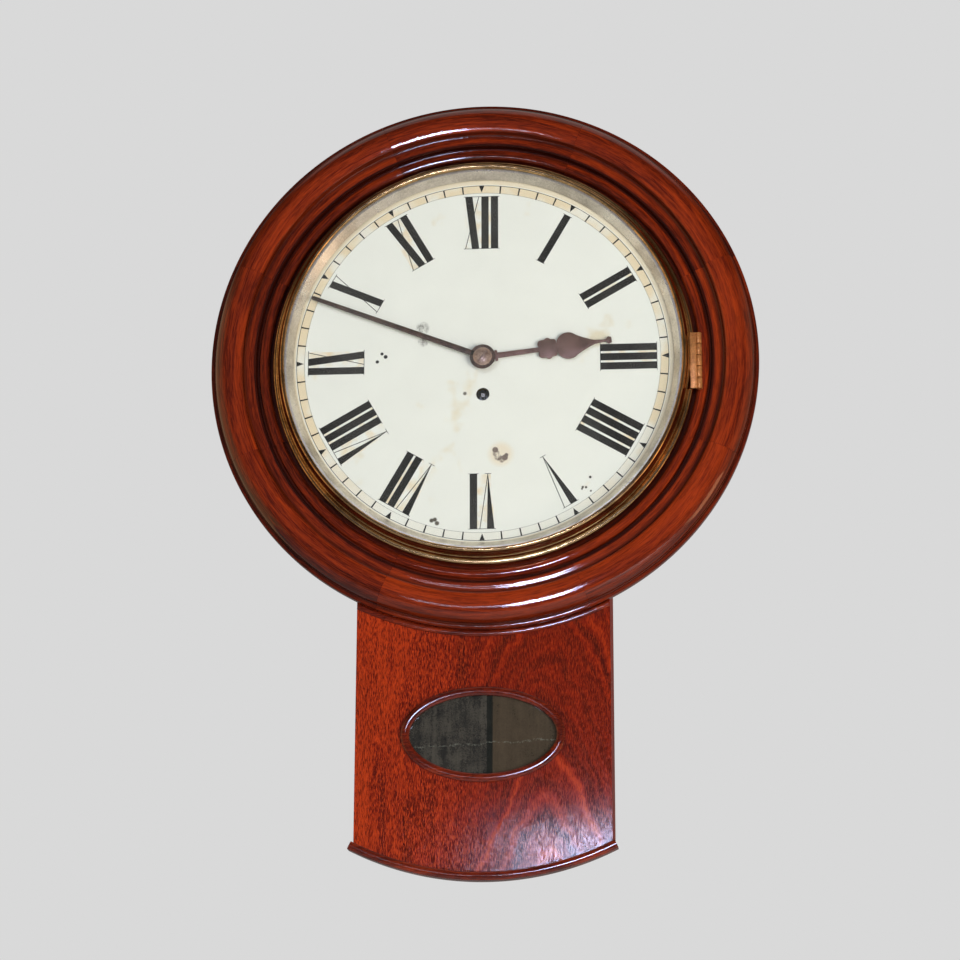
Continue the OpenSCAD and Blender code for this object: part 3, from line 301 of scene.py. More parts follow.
def mahogany(name, base, dark, light, grain, flame=False, turned=False, along="Z", tone=0.5,
             coat=(0.9, 0.045), relief=0.00002):
    """French-polished mahogany: warm red ground, dark pores along the grain and a glassy shellac coat.

    grain is the width of a pore in millimetres, drawn wider than a real one so that it shows, and
    coat the shellac's weight and roughness. flame adds the arched figure of a crotch veneer,
    turned reads the grain from the ring's own attribute, and along names a board's grain axis.
    """
    material, tree, shader = new_material(name)
    if not tree:
        return material
    if turned:
        source = add(tree, "Attribute", attribute_name="grain").outputs["Vector"]
        place = add(tree, "Mapping", {"Vector": source, "Scale": (1000, 1000, 1000)})
    else:
        place = in_millimetres(tree, GRAIN_ALONG[along])
    broad = figure(tree, place, (150, 24, 24), 3.0, Roughness=0.55, Distortion=0.8)
    streak = figure(tree, place, (60, 2.8, 2.8), 4.0, Roughness=0.6, Distortion=0.5)
    wander = figure(tree, place, (26, 13, 13), 2.0)
    aside = add(tree, "Mapping", {"Vector": wander.outputs["Color"], "Scale": (0, 2.6, 2.6)})
    bent = add(tree, "VectorMath", {0: place, 1: aside}, operation="ADD")
    pores = figure(tree, bent, ((20 if turned else 9) * grain, grain, grain), 2.0, Roughness=0.7)
    mixed = add(tree, "Mix", {"Factor": 0.7 if turned else 0.45, "A": broad, "B": streak})
    if flame:
        # The arches stand on a line 48 mm right of the middle, round at the top and steep at the
        # sides. Their legs wave by 60 mm, and a light and a dark band together take about 26 mm.
        axis, blunt, slope, wave, band = 48.0, 260.0, 2.3, 60.0, 26.0
        parts = add(tree, "SeparateXYZ", {"Vector": add(tree, "TexCoord").outputs["Object"]})
        across = add(tree, "Math", {0: parts.outputs["X"], 1: 1000.0, 2: -axis},
                     operation="MULTIPLY_ADD")
        square = add(tree, "Math", {0: across, 1: across, 2: blunt}, operation="MULTIPLY_ADD")
        leg = add(tree, "Math", {0: square}, operation="SQRT")
        rise = add(tree, "Math", {0: leg, 1: slope}, operation="MULTIPLY")
        height = add(tree, "Math", {0: parts.outputs["Z"], 1: 1000.0, 2: rise},
                     operation="MULTIPLY_ADD")
        sway = figure(tree, place, (48, 34, 34), 3.0, Roughness=0.6)
        arch = add(tree, "Math", {0: sway, 1: wave, 2: height}, operation="MULTIPLY_ADD")
        bands = add(tree, "TexNoise", {"W": add(tree, "Math", {0: arch, 1: band}, operation="DIVIDE"),
                                       "Scale": 1.0, "Detail": 1.5, "Roughness": 0.6},
                    noise_dimensions="1D")
        reach = add(tree, "MapRange", {"Value": parts.outputs["X"], "From Min": -0.045,
                                       "From Max": 0.02, "To Min": 0.0, "To Max": 0.75},
                    interpolation_type="SMOOTHSTEP")
        mixed = add(tree, "Mix", {"Factor": reach, "A": mixed, "B": bands})
        fade = add(tree, "MapRange", {"Value": parts.outputs["X"], "From Min": -0.09, "From Max": 0.0,
                                      "To Min": 0.045, "To Max": -0.06})
        mixed = add(tree, "Math", {0: mixed, 1: fade}, operation="ADD")
    if turned:
        # The ring's tone attribute: each board's tone with painted light, and a painted highlight on the
        # swell's inner flank.
        shift = add(tree, "Attribute", attribute_name="tone").outputs["Fac"]
        mixed = add(tree, "Math", {0: mixed, 1: shift}, operation="ADD")
    ground = add(tree, "ValToRGB", {"Fac": mixed},
                 stops=[(0.33, rgba(dark)), (0.50, rgba(base)), (0.69, rgba(light))])
    pits = add(tree, "ValToRGB", {"Fac": pores}, stops=[(0.41, 1.0), (0.495, 0.0)])
    flecks = add(tree, "ValToRGB", {"Fac": pores}, stops=[(0.505, 0.0), (0.60, 1.0)])
    deep, bright = 0.35 if turned else 0.6, tone
    if flame:
        deep = add(tree, "MapRange", {"Value": reach, "From Max": 0.75, "To Min": 0.75, "To Max": 0.5})
        bright = add(tree, "MapRange", {"Value": reach, "From Max": 0.75, "To Min": tone,
                                        "To Max": tone * 0.4})
    pore = rgba([c * (0.8 if flame else 0.45) for c in dark[:3]])
    darker = add(tree, "Mix", {"Factor": add(tree, "Math", {0: pits, 1: deep}, operation="MULTIPLY"),
                               "A": ground, "B": pore}, data_type="RGBA")
    warm = add(tree, "Mix", {"Factor": add(tree, "Math", {0: flecks, 1: bright}, operation="MULTIPLY"),
                             "A": darker, "B": rgba(light)}, data_type="RGBA")
    if turned:
        # Painted shade, with old polish and dust, darkens the ring's hollows and quirks.
        grime = add(tree, "Attribute", attribute_name="grime").outputs["Fac"]
        warm = add(tree, "Mix", {"Factor": grime, "A": warm, "B": linear("#1c0603")}, data_type="RGBA")
    bump = add(tree, "Bump", {"Height": pores, "Strength": 1.0, "Distance": relief})
    if flame:
        worn = add(tree, "MapRange", {"Value": pores, "From Min": 0.42, "From Max": 0.58,
                                      "To Min": coat[0] * 0.1, "To Max": coat[0] * 2.2})
        tree.links.new(worn.outputs["Result"], shader.inputs["Coat Weight"])
    tree.links.new(warm.outputs[2], shader.inputs["Base Color"])
    tree.links.new(bump.outputs[0], shader.inputs["Normal"])
    tree.links.new(bump.outputs[0], shader.inputs["Coat Normal"])
    shader.inputs["Roughness"].default_value = 0.5
    shader.inputs["IOR"].default_value = 1.5
    shader.inputs["Specular IOR Level"].default_value = 0.04
    shader.inputs["Coat Weight"].default_value = coat[0]
    shader.inputs["Coat Roughness"].default_value = coat[1]
    shader.inputs["Coat IOR"].default_value = 1.52
    return material


def metal(name, base, worn, roughness, line=0.0, patch=14.0, spread=0.12, depth=0.00001, bare=1.0):
    """Metal with tarnish in soft patches; line is the pitch in millimetres of its turned marks."""
    material, tree, shader = new_material(name)
    if not tree:
        return material
    place = in_millimetres(tree)
    tarnish = add(tree, "TexNoise", {"Vector": place, "Scale": 1 / patch, "Detail": 5.0,
                                     "Roughness": 0.6})
    spots = add(tree, "TexNoise", {"Vector": place, "Scale": 0.7, "Detail": 3.0, "Roughness": 0.7})
    mixed = add(tree, "Mix", {"Factor": 0.35, "A": tarnish, "B": spots})
    shade = add(tree, "ValToRGB", {"Fac": mixed}, stops=[(0.36, rgba(worn)), (0.58, rgba(base))])
    gloss = add(tree, "MapRange", {"Value": mixed, "From Min": 0.35, "From Max": 0.65,
                                   "To Min": roughness + spread, "To Max": roughness})
    height = spots
    if line:
        parts = add(tree, "SeparateXYZ", {"Vector": place})
        away = add(tree, "CombineXYZ", {"X": parts.outputs["X"], "Y": parts.outputs["Z"]})
        radius = add(tree, "VectorMath", {0: away}, operation="LENGTH").outputs["Value"]
        height = add(tree, "TexNoise", {"W": add(tree, "Math", {0: radius, 1: line}, operation="DIVIDE"),
                                        "Scale": 1.0, "Detail": 2.0}, noise_dimensions="1D")
    bump = add(tree, "Bump", {"Height": height, "Strength": 0.5, "Distance": depth})
    tree.links.new(shade.outputs["Color"], shader.inputs["Base Color"])
    tree.links.new(gloss.outputs["Result"], shader.inputs["Roughness"])
    tree.links.new(bump.outputs[0], shader.inputs["Normal"])
    shader.inputs["Metallic"].default_value = bare
    return material


def softwood(name, base, dark, along="Z", roughness=0.6):
    """Plain stained or bare timber: growth lines in straight bands, little gloss."""
    material, tree, shader = new_material(name)
    if not tree:
        return material
    place = in_millimetres(tree, GRAIN_ALONG[along])
    lines = figure(tree, place, (120, 4.5, 4.5), 5.0, Roughness=0.6, Distortion=0.4)
    shade = add(tree, "ValToRGB", {"Fac": lines}, stops=[(0.36, rgba(dark)), (0.62, rgba(base))])
    bump = add(tree, "Bump", {"Height": lines, "Strength": 0.4, "Distance": 0.0001})
    tree.links.new(shade.outputs["Color"], shader.inputs["Base Color"])
    tree.links.new(bump.outputs[0], shader.inputs["Normal"])
    shader.inputs["Roughness"].default_value = roughness
    return material


def ink_material():
    """Black oil paint of the numerals, rubbed thin in specks so that the white ground shows."""
    material, tree, shader = new_material("numeral_paint")
    if not tree:
        return material
    place = in_millimetres(tree)
    rubbed = add(tree, "TexNoise", {"Vector": place, "Scale": 0.55, "Detail": 5.0, "Roughness": 0.75})
    shade = add(tree, "ValToRGB", {"Fac": rubbed},
                stops=[(0.30, linear("#7f7c6c")), (0.37, rgba(colours().ink)),
                       (0.66, rgba(colours().ink)), (0.74, linear("#57554a"))])
    tree.links.new(shade.outputs["Color"], shader.inputs["Base Color"])
    shader.inputs["Specular IOR Level"].default_value = 0.15
    shader.inputs["Roughness"].default_value = 0.5
    return material


def near(tree, place, x, y, radius, soft):
    """1 within radius millimetres of a point on the dial, falling to 0 over soft millimetres."""
    away = add(tree, "VectorMath", {0: place, 1: (x, 0, y)}, operation="DISTANCE").outputs["Value"]
    return add(tree, "MapRange", {"Value": away, "From Min": radius, "From Max": radius + soft,
                                  "To Min": 1.0, "To Max": 0.0})


# Small losses of paint: x, y, radius and softness in millimetres, and the colour that shows.
DIAL_LOSSES = (
    (-47.5, 26.0, 3.4, 2.6, "#8d8d84"), (-47.0, 14.6, 2.8, 1.8, "#8a8880"),
    (14.0, -78.0, 6.5, 5.0, "#e8dfc6"), (9.8, -74.6, 1.9, 0.7, "#74655b"),
    (10.4, -77.4, 2.3, 0.7, "#76675d"), (11.9, -80.5, 2.4, 0.7, "#6d5f56"),
    (14.8, -82.3, 2.2, 0.7, "#76675c"), (17.2, -80.9, 2.0, 0.7, "#74655b"),
    (18.4, -78.8, 1.1, 0.7, "#6d5f56"), (-36.7, -129.7, 1.2, 0.9, "#504a3c"),
    (-35.0, -132.6, 1.3, 0.8, "#5b5546"), (-39.2, -130.4, 1.2, 0.8, "#504a3c"),
    (-79.3, 5.3, 1.0, 0.5, "#14120e"), (-76.4, 2.8, 1.3, 0.5, "#14120e"),
    (-82.9, -1.2, 1.1, 0.5, "#2a2822"), (77.2, -105.6, 0.7, 0.5, "#4d4a40"),
    (76.6, -107.0, 0.5, 0.5, "#4d4a40"), (79.7, -105.8, 0.7, 0.5, "#4d4a40"),
    (83.0, -97.7, 0.8, 0.5, "#3d3a32"), (83.4, -108.7, 0.5, 0.5, "#4d4a40"),
    (-14.0, -28.5, 1.0, 0.8, "#6a675b"), (-68.0, 112.0, 0.6, 0.6, "#8b887a"),
    (96.0, 54.0, 0.7, 0.6, "#8b887a"))


def dial_material():
    """Oil-painted sheet iron: greenish white, creamier in the minute track, with small losses."""
    material, tree, shader = new_material("painted_dial")
    if not tree:
        return material
    place = add(tree, "Mapping", {"Vector": add(tree, "TexCoord").outputs["Object"],
                                  "Scale": (1000, 0, 1000)})
    height = add(tree, "SeparateXYZ", {"Vector": place}).outputs["Z"]
    radius = add(tree, "VectorMath", {0: place, 1: (DIAL_AT.x, 0, DIAL_AT.y)},
                 operation="DISTANCE").outputs["Value"]
    clouds = add(tree, "TexNoise", {"Vector": place, "Scale": 1 / 55, "Detail": 4.0, "Roughness": 0.6})
    specks = add(tree, "TexNoise", {"Vector": place, "Scale": 1 / 3.2, "Detail": 5.0, "Roughness": 0.7})
    ground = add(tree, "ValToRGB", {"Fac": clouds},
                 stops=[(0.35, rgba(colours().dial)), (0.62, rgba(colours().dial)),
                        (0.72, linear("#e2dabd"))])
    size = sizes()
    inner = add(tree, "MapRange", {"Value": radius, "From Min": mm(size.track_in) - 0.4,
                                   "From Max": mm(size.track_in) + 0.2})
    outer = add(tree, "MapRange", {"Value": radius, "From Min": mm(size.track_out) - 0.2,
                                   "From Max": mm(size.track_out) + 0.4, "To Min": 1.0, "To Max": 0.0})
    patchy = add(tree, "MapRange", {"Value": add(tree, "TexNoise", {"Vector": place, "Scale": 1 / 26,
                                                                   "Detail": 2.0}),
                                    "From Min": 0.36, "From Max": 0.5, "To Min": 0.25, "To Max": 0.95})
    fresh = add(tree, "MapRange", {"Value": height, "From Min": -125.0, "From Max": -60.0,
                                   "To Min": 0.15, "To Max": 1.0})
    track = add(tree, "Math", {0: add(tree, "Math", {0: inner, 1: outer}, operation="MULTIPLY"),
                               1: add(tree, "Math", {0: patchy, 1: fresh}, operation="MULTIPLY")},
                operation="MULTIPLY")
    cream = rgba(colours().cream)
    shade = add(tree, "Mix", {"Factor": track, "A": ground, "B": cream}, data_type="RGBA")
    margin = add(tree, "MapRange", {"Value": radius, "From Min": mm(size.track_out) + 0.2,
                                    "From Max": mm(size.track_out) + 1.4, "To Min": 0.0, "To Max": 0.75})
    shade = add(tree, "Mix", {"Factor": margin, "A": shade, "B": cream}, data_type="RGBA")
    rough_edge = add(tree, "MapRange", {"Value": specks, "From Min": 0.38, "From Max": 0.6})
    for x, y, spread, soft, tint in DIAL_LOSSES:
        worn = near(tree, place, x, y, spread, soft)
        if 2 < spread < 3.9:  # the middling ones are mottled, the specks and the stains are not
            worn = add(tree, "Math", {0: worn, 1: rough_edge}, operation="MULTIPLY")
        shade = add(tree, "Mix", {"Factor": worn, "A": shade, "B": linear(tint)}, data_type="RGBA")
    dust = add(tree, "MapRange", {"Value": specks, "From Min": 0.735, "From Max": 0.8,
                                  "To Min": 0.0, "To Max": 0.35})
    shade = add(tree, "Mix", {"Factor": dust, "A": shade, "B": linear("#8d8468")}, data_type="RGBA")
    tree.links.new(shade.outputs[2], shader.inputs["Base Color"])
    shader.inputs["Roughness"].default_value = 0.55
    shader.inputs["Specular IOR Level"].default_value = 0.3
    return material


def cream_material():
    """Paint that has yellowed between the strokes of the numerals."""
    material, tree, shader = new_material("yellowed_paint")
    if not tree:
        return material
    place = in_millimetres(tree)
    clouds = add(tree, "TexNoise", {"Vector": place, "Scale": 1 / 9, "Detail": 3.0})
    shade = add(tree, "ValToRGB", {"Fac": clouds},
                stops=[(0.44, rgba(colours().dial)), (0.72, rgba(colours().cream))])
    tree.links.new(shade.outputs["Color"], shader.inputs["Base Color"])
    shader.inputs["Roughness"].default_value = 0.55
    shader.inputs["Specular IOR Level"].default_value = 0.3
    return material


def clear_glass():
    """Thin clear sheet glass over the dial: nearly invisible, with a faint gloss."""
    material, tree, shader = new_material("dial_glass")
    if not tree:
        return material
    place = in_millimetres(tree)
    smears = add(tree, "TexNoise", {"Vector": place, "Scale": 1 / 40, "Detail": 4.0})
    dusty = add(tree, "MapRange", {"Value": smears, "From Min": 0.3, "From Max": 0.7,
                                   "To Min": 0.01, "To Max": 0.035})
    tree.links.new(dusty.outputs["Result"], shader.inputs["Alpha"])
    shader.inputs["Base Color"].default_value = linear("#e8ece6")
    shader.inputs["Roughness"].default_value = 0.04
    shader.inputs["Specular IOR Level"].default_value = 0.4
    return material


def dusty_glass_painted_shade():
    """Old window glass, filmed inside with soot and dust that hides most of the dark case; its colour is
    that case's painted shade, with painted reflections in upright streaks.
    """
    material, tree, shader = new_material("sooty_window_glass_painted_shade")
    if not tree:
        return material
    place = in_millimetres(tree)
    parts = add(tree, "SeparateXYZ", {"Vector": place})
    # Upright streaks of smear and painted reflection, soft blots of soot and a fine grain.
    streaks = figure(tree, place, (5, 1, 40), 4.0, Roughness=0.65)
    blots = add(tree, "TexNoise", {"Vector": place, "Scale": 1 / 14, "Detail": 5.0, "Roughness": 0.7})
    grain = add(tree, "TexNoise", {"Vector": place, "Scale": 0.9, "Detail": 3.0, "Roughness": 0.7})
    soot_and_reflections = add(tree, "Mix", {"Factor": 0.5, "A": streaks, "B": blots})
    soot_and_reflections = add(tree, "Mix", {"Factor": 0.3, "A": soot_and_reflections, "B": grain})
    # Painted shade of the dark case inside: greenish dark at the left, and the brown back board behind
    # at the right.
    left = add(tree, "ValToRGB", {"Fac": soot_and_reflections},
               stops=[(0.39, linear("#16191c")), (0.62, linear("#504d46"))])
    right = add(tree, "ValToRGB", {"Fac": soot_and_reflections},
                stops=[(0.34, linear("#3a342b")), (0.66, linear("#53483b"))])
    side = add(tree, "MapRange", {"Value": parts.outputs["X"], "From Min": 6.0, "From Max": 8.0})
    shade = add(tree, "Mix", {"Factor": side, "A": left, "B": right}, data_type="RGBA")
    # An upright shade stands 5.2 mm right of the middle, 2.2 mm to each side.
    bar = add(tree, "MapRange", {"Value": add(tree, "Math", {0: parts.outputs["X"], 1: 5.2, 2: 2.2},
                                              operation="COMPARE"),
                                 "From Min": 0.0, "From Max": 1.0, "To Min": 0.0, "To Max": 0.75})
    shade = add(tree, "Mix", {"Factor": bar, "A": shade, "B": linear("#141a19")}, data_type="RGBA")
    # A broken scratch drifts across the pane, 1.1 mm wide and a little higher at the right.
    level = add(tree, "Math", {0: parts.outputs["X"], 1: 0.05, 2: -306.3}, operation="MULTIPLY_ADD")
    drift = add(tree, "Math", {0: blots, 1: 9.0, 2: level}, operation="MULTIPLY_ADD")
    scratch = add(tree, "Math", {0: parts.outputs["Z"], 1: drift, 2: 0.55}, operation="COMPARE")
    broken = add(tree, "Math", {0: scratch, 1: add(tree, "MapRange",
                 {"Value": grain, "From Min": 0.45, "From Max": 0.62, "To Min": 0.0, "To Max": 0.38})},
                 operation="MULTIPLY")
    shade = add(tree, "Mix", {"Factor": broken, "A": shade, "B": linear("#8a8f84")}, data_type="RGBA")
    tree.links.new(shade.outputs[2], shader.inputs["Base Color"])
    shader.inputs["Alpha"].default_value = 0.93
    shader.inputs["Roughness"].default_value = 0.03
    return material


# How dark the moulding is painted at each radius: old polish and dust, with painted shade deepest in its
# narrow quirks and hollows.
RING_SHADE_AND_GRIME = ((140, 0.6), (168.6, 0.6), (170, 0.25), (172, 0.05), (176, 0.1), (177.4, 0.9),
              (180, 0.9), (180.8, 0.15), (183, 0.0), (185.4, 0.2), (187.4, 0.7), (188.8, 0.55),
              (190, 0.0), (199, 0.0), (204, 0.15), (208, 0.35), (210.8, 0.6), (211.8, 0.75),
              (213.5, 0.4), (216, 0.5))


def shade_and_grime_at(radius):
    """Old polish and dust with painted shade at a radius of the moulding, between the values listed."""
    for (r0, g0), (r1, g1) in zip(RING_SHADE_AND_GRIME, RING_SHADE_AND_GRIME[1:]):
        if radius <= r1:
            return g0 + (g1 - g0) * max(0.0, (radius - r0) / (r1 - r0))
    return RING_SHADE_AND_GRIME[-1][1]


def ring_section():
    """Section of the turned surround from its rim inwards, as (radius, height over its back)."""
    crest = RIM - 17        # top of the broad swell
    step = RIM - 26.4       # where the swell drops into the hollow
    groove = BEZEL_R + 10.8
    bead = BEZEL_R + 2.6    # inner edge of the bead beside the bezel
    seat = BEZEL_R - 7.3    # the ledge under the bezel
    rim = ([(seat - 18.2, 0), (RIM - 1, 0), (RIM - 0.3, 0.3), (RIM, 1), (RIM, 5.8), (RIM - 0.15, 6.5)]
           + arc(RIM - 2.1, 1.5, 6, 73, 96, 8)
           + [(RIM - 3.1, 7.2), (RIM - 3.5, 7.35), (RIM - 3.7, 7.7), (RIM - 3.75, 8.4)])
    swell = (arc(crest + 3.25, CREST - 10.45, 10.2, 10, 81, 18)
             + arc(crest, CREST - 31, 31, 81, 106, 16)[1:]
             + [(step + 0.5, CREST - 1.5), (step + 0.1, CREST - 2.2), (step, CREST - 5.2)])
    hollow = arc(step - 2, CREST - 5.4, 2, 0, -90, 8) + arc(groove + 5.2, -4.5, 16, 81, 99, 10)
    quirk = [(groove + 2.5, 11), (groove + 2.3, 10.4), (groove + 2.2, 7.2), (groove + 1.8, 6.7),
             (groove + 0.4, 6.7), (groove, 7.1), (groove - 0.1, 7.9), (groove - 0.7, 8.7)]
    inner_bead = (arc((bead + groove) / 2, 1.3, 8, 72, 108, 12)
                  + [(bead + 0.7, 8.3), (bead + 0.1, 7.6), (bead, 6.8), (bead, 3.5)])
    return rim + swell + hollow + quirk + inner_bead + [(seat, 3.5), (seat, 10), (seat - 18.2, 10)]


class CLOCK_OT_ring(bpy.types.Operator):
    """Turns the eight segments of the surround, each cut from its own straight-grained board"""
    bl_idname = "clock.ring"
    bl_label = "Turned surround"

    def execute(self, context):
        size, paint = sizes(), colours()
        # Turned mahogany under thick French polish: each board runs its own way and has its own tone.
        wood = mahogany("polished_mahogany_ring", paint.ring, paint.ring_dark, paint.ring_light,
                        mm(size.grain) * 0.8, turned=True, tone=0.35)
        # Each board's own tone with painted light: the boards at the right and bottom are lighter, those
        # at the left and top darker.
        board_tones_and_painted_light = (0.02, 0.07, 0.08, 0.06, -0.03, -0.01, 0.02, -0.04)
        gap = math.degrees(mm(size.ring_joint) / RIM)
        whole = bmesh.new()
        grain = whole.verts.layers.float_vector.new("grain")
        tone = whole.verts.layers.float.new("tone")
        grime = whole.verts.layers.float.new("grime")
        for index, shift in enumerate(board_tones_and_painted_light):
            clockwise = 22.5 + 45 * index
            start = 90 - clockwise - 45 + gap / 2
            before = set(whole.verts)
            first = section(whole, ring_section(), start)
            last = turn(whole, first, 45 - gap, size.ring_steps, False)
            bmesh.ops.edgeloop_fill(whole, edges=first)
            bmesh.ops.edgeloop_fill(whole, edges=last)
            # The joint shows as a groove in the mouldings and is closed behind them.
            for edges, way in ((first, -0.5), (last, 0.5)):
                glued = [v for v in {w for e in edges for w in e.verts} if v.co.z < 5.6]
                bmesh.ops.rotate(whole, verts=glued, cent=(0, 0, 0),
                                 matrix=Matrix.Rotation(math.radians(way * gap), 3, "Z"))
            board = Matrix.Rotation(math.radians(-(90 - clockwise - 22.5)), 3, "Z")
            for vert in whole.verts:
                if vert in before:
                    continue
                across, along, high = board @ vert.co
                radius = math.hypot(across, along)
                vert[grain] = Vector((radius * math.atan2(along, across) + 37.0 * index,
                                      radius + 400.0 * index, high)) / 1000
                # Each board has its own tone and painted light, and a painted highlight lightens the
                # swell's inner flank round 191 mm.
                vert[tone] = shift + 0.07 * math.exp(-((radius - 191) / 8) ** 2)
                # Painted shade and old polish by radius; the hidden back takes a middling value.
                vert[grime] = shade_and_grime_at(radius) if vert.co.z > 5.6 else 0.5
        bmesh.ops.translate(whole, verts=whole.verts, vec=(0, 0, CASE_D))
        piece("turned_surround", whole, wood, "case", ["surround"], smooth=40)
        return {"FINISHED"}


def plate_outline(angle, top, arc_centre, arc_radius):
    """Where a ray from the window's centre leaves the trunk front, in front view."""
    direction = Vector((math.cos(angle), math.sin(angle)))
    start = Vector((0, WINDOW_Y))
    reach = []
    if abs(direction.x) > 1e-9:
        reach.append((math.copysign(HALF_W, direction.x) - start.x) / direction.x)
    if direction.y > 1e-9:
        reach.append((top - start.y) / direction.y)
    offset = start - Vector((0, arc_centre))
    half = offset.dot(direction)
    if direction.y < 0:
        reach.append(-half + math.sqrt(half * half - offset.length_squared + arc_radius ** 2))
    return start + direction * min(r for r in reach if r > 0)


class CLOCK_OT_trunk(bpy.types.Operator):
    """Cuts the veneered trunk front and bends the beads round its window, neck and foot"""
    bl_idname = "clock.trunk"
    bl_label = "Trunk front"

    def execute(self, context):
        size, paint = sizes(), colours()
        # Crotch veneer with its shellac worn to a low gloss that sparkles between the open pores.
        veneer = mahogany("flame_mahogany", paint.trunk, paint.trunk_dark, paint.trunk_light,
                          mm(size.grain) * 0.52, flame=True, tone=1.0, coat=(0.17, 0.07),
                          relief=0.000016)
        # Straight-grained beads, darker than the boards and polished like glass.
        moulding = mahogany("polished_mahogany_bead", paint.bead, paint.ring_dark, paint.ring_light,
                            mm(size.grain) * 0.6, along="X", tone=0.12, coat=(1.0, 0.03))
        low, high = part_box("trunk_front")
        top, back, foot = high.z * 1000, -high.y * 1000, low.z * 1000
        corner = FOOT_ARC * math.cos(math.asin(HALF_W / FOOT_ARC))
        centre = foot + FOOT_ARC
        a, b = WINDOW_HALF
        bm = bmesh.new()
        corners = [math.atan2(top - WINDOW_Y, HALF_W), math.atan2(top - WINDOW_Y, -HALF_W),
                   math.atan2(centre - corner - WINDOW_Y, -HALF_W),
                   math.atan2(centre - corner - WINDOW_Y, HALF_W)]
        # Rays from the window's centre; the nearest ones move onto the plate's four corners.
        steps = 128
        angles = sorted([2 * math.pi * i / steps - math.pi + 0.011 for i in range(steps)])
        for value in corners:
            nearest = min(range(steps), key=lambda i: abs(angles[i] - value))
            angles[nearest] = value
        inner = bmesh.ops.create_circle(bm, cap_ends=False, segments=steps, radius=1)["verts"]
        outer = bmesh.ops.create_circle(bm, cap_ends=False, segments=steps, radius=2)["verts"]
        for ring, rule in ((inner, lambda t: Vector((a * math.cos(t), b * math.sin(t) + WINDOW_Y))),
                           (outer, lambda t: plate_outline(t, top, centre, FOOT_ARC))):
            ring = sorted(ring, key=lambda v: math.atan2(v.co.y, v.co.x))
            for vert, value in zip(ring, angles):
                spot = rule(value)
                vert.co = (spot.x, spot.y, back)
        bmesh.ops.bridge_loops(bm, edges=bm.edges[:])
        done = bmesh.ops.extrude_face_region(bm, geom=bm.faces[:], use_keep_orig=True)
        front = [g for g in done["geom"] if isinstance(g, bmesh.types.BMVert)]
        bmesh.ops.translate(bm, verts=front, vec=(0, 0, CASE_D - back))
        # The front's outer edges are worn round; the edge of the window is under its bead.
        rim = [e for e in bm.edges if all(v in front for v in e.verts) and any(
            abs(v.co.z - CASE_D) < 1e-6 for f in e.link_faces for v in f.verts if v not in e.verts)
            and any(abs(f.normal.z) < 0.5 for f in e.link_faces)
            and max(abs(v.co.x) for v in e.verts) > a + 1]
        bmesh.ops.bevel(bm, geom=rim, offset=mm(size.edge), offset_type="OFFSET", segments=3,
                        profile=0.5, affect="EDGES", material=-1, clamp_overlap=True)
        piece("veneered_trunk_front", bm, veneer, "case", ["trunk_front"], smooth=30)

        # The window's bead is spun as a ring and bent onto its oval.
        r = (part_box("window_bead")[1].x * 1000 - WINDOW_BEAD_IN[0]) / 2
        ca, cb = WINDOW_BEAD_IN[0] + r, WINDOW_BEAD_IN[1] + r
        bm = turned_part(crown(100, r, r, 5.5), steps=144)
        for vert in bm.verts:
            angle = math.atan2(vert.co.y, vert.co.x)
            off = math.hypot(vert.co.x, vert.co.y) - 100
            normal = Vector((cb * math.cos(angle), ca * math.sin(angle))).normalized()
            vert.co = (ca * math.cos(angle) + normal.x * off, cb * math.sin(angle) + normal.y * off
                       + WINDOW_Y, vert.co.z * 0.9 + CASE_D)
        piece("oval_window_bead", bm, moulding, "case", ["window_bead"], smooth=60)

        r = 2.1
        neck = RIM + r + 0.3
        half = math.degrees(math.asin(HALF_W / (neck + r)))
        bm = turned_part(crown(neck, r, r, 5), 2 * half, 270 - half, 64, (0, 0, CASE_D))
        piece("neck_moulding", bm, moulding, "case", ["neck_bead"], smooth=60)

        low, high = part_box("foot_bead")
        radius, thick = FOOT_ARC, 6.4
        front = -low.y * 1000
        half = math.degrees(math.asin(high.x * 1000 / (radius + thick)))
        back = -high.y * 1000
        bm = turned_part(crown(radius + thick / 2, thick / 2, front - back, 6, 16), 2 * half,
                         270 - half, 64, (0, centre, back))
        piece("foot_moulding", bm, moulding, "case", ["foot_bead"], smooth=60)
        finish_node("window_glass", dusty_glass_painted_shade())
        return {"FINISHED"}


